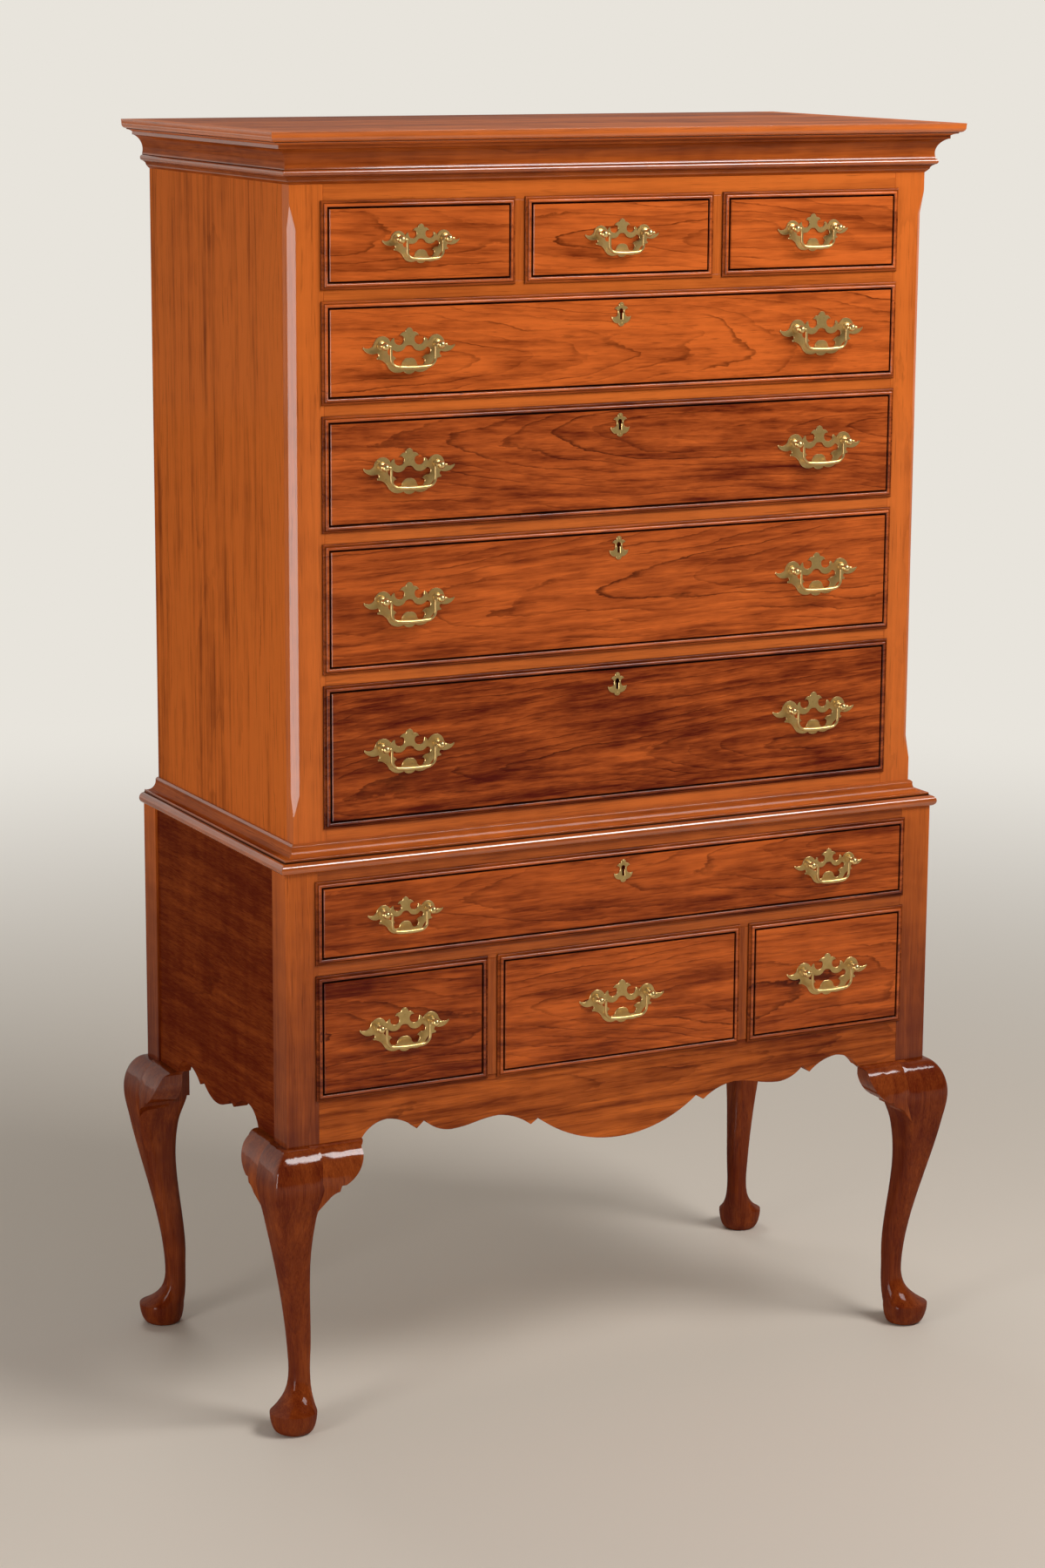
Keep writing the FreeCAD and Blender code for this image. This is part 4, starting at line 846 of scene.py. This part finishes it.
def post_model():
    """A ball-headed post with a stepped collar, and its shank and square nut."""
    shapes = bpy.context.scene.highboy_shapes
    ball = shapes.ball_radius
    face = shapes.plate_thick
    collar = shapes.collar_radius
    centre = shapes.ball_reach
    profile = [(0.2 * MM, 0.0), (0.2 * MM, collar), (face + 0.5 * MM, collar),
               (face + 1.3 * MM, collar - 0.5 * MM), (face + 1.5 * MM, collar - 1.4 * MM),
               (face + 2.3 * MM, collar - 1.6 * MM), (face + 2.9 * MM, 3.1 * MM),
               (face + 4.2 * MM, 2.5 * MM), (face + 5.2 * MM, 2.6 * MM),
               (face + 5.6 * MM, 3.5 * MM), (face + 6.3 * MM, 3.6 * MM),
               (face + 6.7 * MM, 2.9 * MM)]
    start = math.asin(2.9 * MM / ball)
    facets = 12
    for facet in range(facets):
        turn = start + (math.pi - start) * facet / facets
        profile.append((centre - ball * math.cos(turn), ball * math.sin(turn)))
    profile.append((centre + ball, 0.0))
    post = spun("post_model", profile)
    inside = -shapes.lip_proud - 16 * MM
    shank_radius = 2.2 * MM
    nut_thick = 3 * MM
    nut_width = 12 * MM
    shank = spun("shank_model", [(inside - nut_thick, 0.0), (inside - nut_thick, shank_radius),
                                 (face, shank_radius), (face, 0.0)], 12)
    nut = cuboid((0.0, nut_thick / 2 - inside, 0.0), (nut_width, nut_thick, nut_width))
    apply_modifier(nut, "BEVEL", width=0.5 * MM, segments=2)
    joined(post, shank, nut)
    worn = painted(post, "worn")[0]
    for vertex in post.data.vertices:
        worn[vertex.index].value = 0.9 if vertex.co.y < -7 * MM else 0.3
    smooth(post, 40.0)
    return post


def placed_copy(model, name, place):
    """A copy of a model with a mesh of its own, moved to its place."""
    copy = model.copy()
    copy.data = model.data.copy()
    copy.name = name
    bpy.context.scene.collection.objects.link(copy)
    copy.data.transform(Matrix.Translation(place))
    return copy


def dress_brasses(name, post, pin):
    """Plates, posts and escutcheon of one drawer."""
    shapes = bpy.context.scene.highboy_shapes
    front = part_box("drawer_" + name)[0].y
    brasses = bevelled_plates(name)
    pieces = []
    for node in bails_of(name):
        low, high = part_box(node)
        reach = shapes.post_spacing / 2 * (shapes.small_scale if small_pull(node) else 1.0)
        for side in (-reach, reach):
            place = Vector(((low.x + high.x) / 2 + side, front, high.z - shapes.wire_radius))
            pieces.append(placed_copy(post, "post", place))
    lock = lock_place(name)
    if lock:
        for rise in PIN_RISES:
            place = Vector((lock.x, front - shapes.plate_thick, lock.z + rise))
            pieces.append(placed_copy(pin, "pin", place))
    joined(brasses, *pieces)
    finished(brasses, "drawer_" + name, "brass", "plate_brass", "brasses_" + name)


def bail_path(scale, shapes):
    """Places and radii along a hanging bail, from tip to tip, in its own plane."""
    half = shapes.post_spacing / 2 * scale
    bend = 2.6 * MM
    leg = half - shapes.ball_radius - bend
    tip = half + shapes.ball_radius + 2.0 * MM
    drop = 26.0 * MM * (0.5 + scale / 2)
    corner = 11.0 * MM * scale
    tilt = math.radians(6.0)
    side = [(tip, 0.0), (leg + bend, 0.0)]
    for step in range(1, 7):
        turn = math.pi / 2 * step / 6
        side.append((leg + bend - bend * math.sin(turn), -bend + bend * math.cos(turn)))
    for step in range(0, 11):
        turn = (math.pi / 2 - tilt) * step / 10
        side.append((leg - corner + corner * math.cos(turn),
                     corner - drop - corner * math.sin(turn)))
    end = side[-1]
    sweep = end[0] / math.sin(tilt)
    for step in range(1, 13):
        turn = tilt * (1 - step / 12)
        side.append((sweep * math.sin(turn), end[1] - sweep * (math.cos(turn) - math.cos(tilt))))
    path = side + [(-x, z) for x, z in reversed(side[:-1])]
    thin = shapes.wire_radius - 0.15 * MM
    radii = []
    for x, z in path:
        if abs(x) > leg + bend + 0.1 * MM:
            radii.append(shapes.wire_radius)
            continue
        middle = max(0.0, 1 - abs(x) / (leg * 0.92))
        swell = min(1.0, middle * 2.2) if z < -drop * 0.8 else 0.0
        swell = swell * swell * (3 - 2 * swell)
        radii.append(thin + (shapes.grip_radius - thin) * swell)
    return path, radii


def dress_bail(node):
    """A bail drawn as a wire along its path and thickened in the middle."""
    shapes = bpy.context.scene.highboy_shapes
    low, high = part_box(node)
    middle = (low + high) / 2
    line = high.z - shapes.wire_radius
    path, radii = bail_path(shapes.small_scale if small_pull(node) else 1.0, shapes)
    curve = bpy.data.curves.new(node + "_wire", "CURVE")
    curve.dimensions = "3D"
    curve.bevel_depth = 1.0
    curve.bevel_resolution = 3
    curve.use_fill_caps = True
    spline = curve.splines.new("POLY")
    spline.points.add(len(path) - 1)
    for point, (x, z), radius in zip(spline.points, path, radii):
        point.co = (middle.x + x, middle.y, line + z, 1.0)
        point.radius = radius
    wire = bpy.data.objects.new(node + "_wire", curve)
    bpy.context.scene.collection.objects.link(wire)
    only(wire)
    bpy.ops.object.convert(target="MESH")
    with editing(wire):
        bpy.ops.mesh.remove_doubles(threshold=TOUCHING)
        bpy.ops.mesh.normals_make_consistent(inside=False)
    smooth(wire, 50.0)
    finished(wire, node, "brass", "bail_brass", node)


# ---------------------------------------------------------------- legs

def polish_knees(piece):
    """The knees' shoulders are rubbed brighter than the rest of the legs."""
    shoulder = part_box("knee_blocks")[1].z - 22 * MM
    spread = 34 * MM
    gloss = painted(piece, "gloss")[0]
    for vertex in piece.data.vertices:
        away = abs(vertex.co.z - shoulder) / spread
        gloss[vertex.index].value = 0.5 * max(0.0, 1.0 - away)


def dress_leg(node):
    """A post and leg in one piece, with the post paler than its leg."""
    leg = merged_copy(node + "_wood", solids_of(node))
    post_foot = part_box("knee_blocks")[1].z + 0.5 * MM
    with editing(leg, lambda face: all(leg.data.vertices[index].co.z > post_foot - 1.0 * MM
                                       for index in face.vertices)):
        bpy.ops.mesh.dissolve_limited(angle_limit=FLAT)
    smooth(leg, 38.0)
    lay_grain(leg, node, stain=0.90, along=2)
    stain = leg.data.attributes["stain"].data
    for vertex in leg.data.vertices:
        if vertex.co.z > post_foot - 1.5 * MM:
            stain[vertex.index].value = 0.34
    polish_knees(leg)
    finished(leg, "case", "case_wood", "leg_cherry", node)


def knee_block(solid):
    """A knee block whose end runs on into its leg, so that no valley is left between them."""
    shapes = bpy.context.scene.highboy_shapes
    block = merged_copy("knee_block", [solid])
    low, high = box_of([vertex.co for vertex in block.data.vertices])
    middle = (low + high) / 2
    along = 0 if high.x - low.x > high.y - low.y else 1
    end = high[along] if middle[along] > 0 else low[along]
    inward = -math.copysign(1.0, middle[1 - along])
    tuck = 1.5 * MM
    low_tuck = 4.5 * MM
    step = Vector((0.0, 0.0, 0.0))
    step[along] = math.copysign(shapes.block_reach, middle[along])
    step[1 - along] = inward * tuck
    sink = Vector((0.0, 0.0, -shapes.block_fall))
    sink[1 - along] = inward * low_tuck
    far = end + step[along]
    belly = low.z + 20 * MM
    with editing(block, lambda face: abs(face.center[along] - end) < TOUCHING):
        bpy.ops.mesh.extrude_region_move(TRANSFORM_OT_translate={"value": step})
    points = block.data.vertices
    with editing(block, lambda edge: all(abs(points[index].co[along] - far) < TOUCHING
                                         and points[index].co.z < belly
                                         for index in edge.vertices), "EDGE"):
        bpy.ops.transform.translate(value=sink)
    return block


# ---------------------------------------------------------------- operators

class HIGHBOY_OT_upper_case(bpy.types.Operator):
    """Dress the boards of the upper case"""
    bl_idname = "highboy.upper_case"
    bl_label = "Upper case"
    bl_options = {"REGISTER", "UNDO"}

    def execute(self, context):
        arris = context.scene.highboy_shapes.arris
        for side in ("left", "right"):
            boards("upper_side_" + side, "side_cherry", arris, stain=0.12)
        polish_chamfers(boards("upper_stiles", "straight_cherry", arris, stain=0.16))
        boards("upper_rails", "straight_cherry", arris, stain=0.26)
        for node in ("upper_runners", "upper_bottom_board", "upper_back_boards"):
            boards(node, "inside_wood", arris, slot="secondary_wood")
        return {"FINISHED"}


class HIGHBOY_OT_mouldings(bpy.types.Operator):
    """Dress the top, the cornice and the waist moulding"""
    bl_idname = "highboy.mouldings"
    bl_label = "Top and mouldings"
    bl_options = {"REGISTER", "UNDO"}

    def execute(self, context):
        arris = context.scene.highboy_shapes.moulding_arris
        boards("top_board", "case_cherry", arris, stain=0.5, flat=True)
        for node, stain in (("cornice_cap", 0.20), ("cornice_moulding", 0.58),
                            ("waist_moulding", 0.42)):
            shade_creases_polish_noses(boards(node, "moulding_cherry", arris, stain=stain))
        return {"FINISHED"}


class HIGHBOY_OT_lower_case(bpy.types.Operator):
    """Dress the boards of the lower case"""
    bl_idname = "highboy.lower_case"
    bl_label = "Lower case"
    bl_options = {"REGISTER", "UNDO"}

    def execute(self, context):
        arris = context.scene.highboy_shapes.arris
        for side in ("left", "right"):
            boards("lower_side_" + side, "deep_cherry", arris, stain=0.96, flat=True, along=1)
        boards("front_apron", "case_cherry", arris, stain=0.50, flat=True)
        boards("lower_rails", "straight_cherry", arris, stain=0.48)
        for node in ("lower_runners", "lower_back_board"):
            boards(node, "inside_wood", arris, slot="secondary_wood")
        return {"FINISHED"}


class HIGHBOY_OT_legs(bpy.types.Operator):
    """Dress the four posts with their cabriole legs, and the knee blocks"""
    bl_idname = "highboy.legs"
    bl_label = "Legs and knee blocks"
    bl_options = {"REGISTER", "UNDO"}

    def execute(self, context):
        for side in ("front_left", "front_right", "back_left", "back_right"):
            dress_leg("leg_" + side)
        blocks, *others = [knee_block(solid) for solid in solids_of("knee_blocks")]
        blocks.name = "knee_blocks_wood"
        joined(blocks, *others)
        smooth(blocks, 38.0)
        lay_grain(blocks, "knee_blocks", stain=0.84, along=2)
        polish_knees(blocks)
        finished(blocks, "case", "case_wood", "leg_cherry", "knee_blocks")
        return {"FINISHED"}


class HIGHBOY_OT_drawers(bpy.types.Operator):
    """Model the lipped fronts and dress the drawer boxes"""
    bl_idname = "highboy.drawers"
    bl_label = "Drawers"
    bl_options = {"REGISTER", "UNDO"}

    def execute(self, context):
        for name in DRAWER_STAIN:
            dress_drawer(name)
        return {"FINISHED"}


class HIGHBOY_OT_brasses(bpy.types.Operator):
    """Model the plates, posts and escutcheons"""
    bl_idname = "highboy.brasses"
    bl_label = "Brasses"
    bl_options = {"REGISTER", "UNDO"}

    def execute(self, context):
        post = post_model()
        deselect()
        bpy.ops.mesh.primitive_uv_sphere_add(segments=12, ring_count=8, radius=1.0 * MM,
                                             scale=(1.0, 0.6, 1.0))
        pin = bpy.context.object
        settle(pin)
        smooth(pin, 60.0)
        for name in DRAWER_STAIN:
            dress_brasses(name, post, pin)
        bpy.data.objects.remove(post)
        bpy.data.objects.remove(pin)
        return {"FINISHED"}


class HIGHBOY_OT_bails(bpy.types.Operator):
    """Model the sixteen bails"""
    bl_idname = "highboy.bails"
    bl_label = "Bails"
    bl_options = {"REGISTER", "UNDO"}

    def execute(self, context):
        for node in sorted(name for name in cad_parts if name.startswith("bail_")):
            dress_bail(node)
        return {"FINISHED"}


def light_paths(graph):
    """Whether a ray comes from the camera, from a mirror or through glass."""
    rays = graph.node("ShaderNodeLightPath", {}, {}, "Is Camera Ray")
    outputs = rays.socket.node.outputs
    return rays, Flow(graph, outputs["Is Glossy Ray"]), Flow(graph, outputs["Is Transmission Ray"])


def floor_material(studio):
    """A plain matt floor that fades into the backdrop's colour away from the highboy."""
    made, graph = new_material("studio_floor")
    place = graph.node("ShaderNodeTexCoord", {}, {}, "Object")
    away = graph.node("ShaderNodeVectorMath", {"operation": "LENGTH"}, {0: place}, "Value")
    seen, glossy, through = light_paths(graph)
    shown_to = seen.math("MAXIMUM", through).math("MAXIMUM", glossy * 0.3)
    far = away.ramped(0.9, 4.5) * shown_to
    plain = graph.node("ShaderNodeBsdfPrincipled", {}, {
        "Base Color": opaque(studio.floor_colour), "Roughness": 0.6, "Specular IOR Level": 0.2})
    bright = graph.node("ShaderNodeEmission", {}, {
        "Color": opaque(studio.backdrop), "Strength": 1.0})
    both = graph.node("ShaderNodeMixShader", {}, {0: far, 1: plain, 2: bright})
    graph.node("ShaderNodeOutputMaterial", {}, {"Surface": both})
    return made


def area_light(name, place, size, power):
    """A soft box that faces the middle of the highboy."""
    target = Vector((0.0, 0.0, 0.9))
    deselect()
    bpy.ops.object.light_add(type="AREA", location=place)
    lamp = bpy.context.object
    lamp.name = name
    lamp.data.shape = "RECTANGLE"
    lamp.data.size, lamp.data.size_y = size
    lamp.data.energy = power
    facing = target - Vector(place)
    lamp.rotation_euler = facing.to_track_quat("-Z", "Y").to_euler()


class HIGHBOY_OT_studio(bpy.types.Operator):
    """Set the camera, the floor, the backdrop and the lights"""
    bl_idname = "highboy.studio"
    bl_label = "Studio"
    bl_options = {"REGISTER", "UNDO"}

    def execute(self, context):
        studio = context.scene.highboy_studio
        deselect()
        bpy.ops.object.camera_add(location=studio.camera_place, rotation=studio.camera_turn)
        camera = context.object
        camera.data.sensor_fit = "VERTICAL"
        camera.data.sensor_height = 36.0
        camera.data.lens = studio.focal_length
        context.scene.camera = camera

        deselect()
        bpy.ops.mesh.primitive_circle_add(vertices=96, radius=12.0, fill_type="NGON")
        floor = context.object
        floor.name = "studio_floor"
        floor.data.materials.append(floor_material(studio))

        world = bpy.data.worlds.new("studio_world")
        world.use_nodes = True
        context.scene.world = world
        graph = Graph(world.node_tree)
        seen, glossy, through = light_paths(graph)
        direction = graph.node("ShaderNodeTexCoord", {}, {}, "Generated")
        behind = graph.node("ShaderNodeSeparateXYZ", {}, {0: direction}, "Y").ramped(-0.3, 0.6)
        dark_room = (0.05, 0.045, 0.04, 1.0)
        soft_fill = (0.22, 0.215, 0.21, 1.0)
        mirrored = graph.mix(behind, dark_room, opaque(studio.backdrop))
        lit = graph.mix(glossy, soft_fill, mirrored)
        pale = graph.mix(seen.math("MAXIMUM", through), lit, opaque(studio.backdrop))
        light = graph.node("ShaderNodeBackground", {}, {"Color": pale, "Strength": 1.0})
        graph.node("ShaderNodeOutputWorld", {}, {"Surface": light})

        area_light("strip_left", (-3.05, -1.36, 0.9), (0.9, 1.9), 34.0)
        area_light("key", (1.35, -1.9, 2.9), (1.6, 1.1), 72.0)
        area_light("fill_back", (0.0, 3.0, 4.0), (1.6, 1.6), 28.0)
        context.scene.view_settings.view_transform = "Standard"
        return {"FINISHED"}


class HIGHBOY_PT_panel(bpy.types.Panel):
    """The highboy's operators and settings"""
    bl_idname = "HIGHBOY_PT_panel"
    bl_label = "Highboy"
    bl_space_type = "VIEW_3D"
    bl_region_type = "UI"
    bl_category = "Highboy"

    def draw(self, context):
        column = self.layout.column()
        for operator in OPERATORS:
            column.operator(operator.bl_idname)
        for group in GROUPS:
            settings = getattr(context.scene, group)
            for name in settings.__annotations__:
                column.prop(settings, name)


OPERATORS = (HIGHBOY_OT_studio, HIGHBOY_OT_upper_case, HIGHBOY_OT_mouldings,
             HIGHBOY_OT_lower_case, HIGHBOY_OT_legs, HIGHBOY_OT_drawers, HIGHBOY_OT_brasses,
             HIGHBOY_OT_bails)
CLASSES = tuple(GROUPS.values()) + OPERATORS + (HIGHBOY_PT_panel,)


def register():
    for item in CLASSES:
        bpy.utils.register_class(item)
    for name, group in GROUPS.items():
        setattr(bpy.types.Scene, name, bpy.props.PointerProperty(type=group))


def unregister():
    for name in GROUPS:
        delattr(bpy.types.Scene, name)
    for item in reversed(CLASSES):
        bpy.utils.unregister_class(item)


def main():
    register()
    bpy.ops.highboy.studio()
    bpy.ops.highboy.upper_case()
    bpy.ops.highboy.mouldings()
    bpy.ops.highboy.lower_case()
    bpy.ops.highboy.legs()
    bpy.ops.highboy.drawers()
    bpy.ops.highboy.brasses()
    bpy.ops.highboy.bails()


if __name__ == "__main__":
    main()
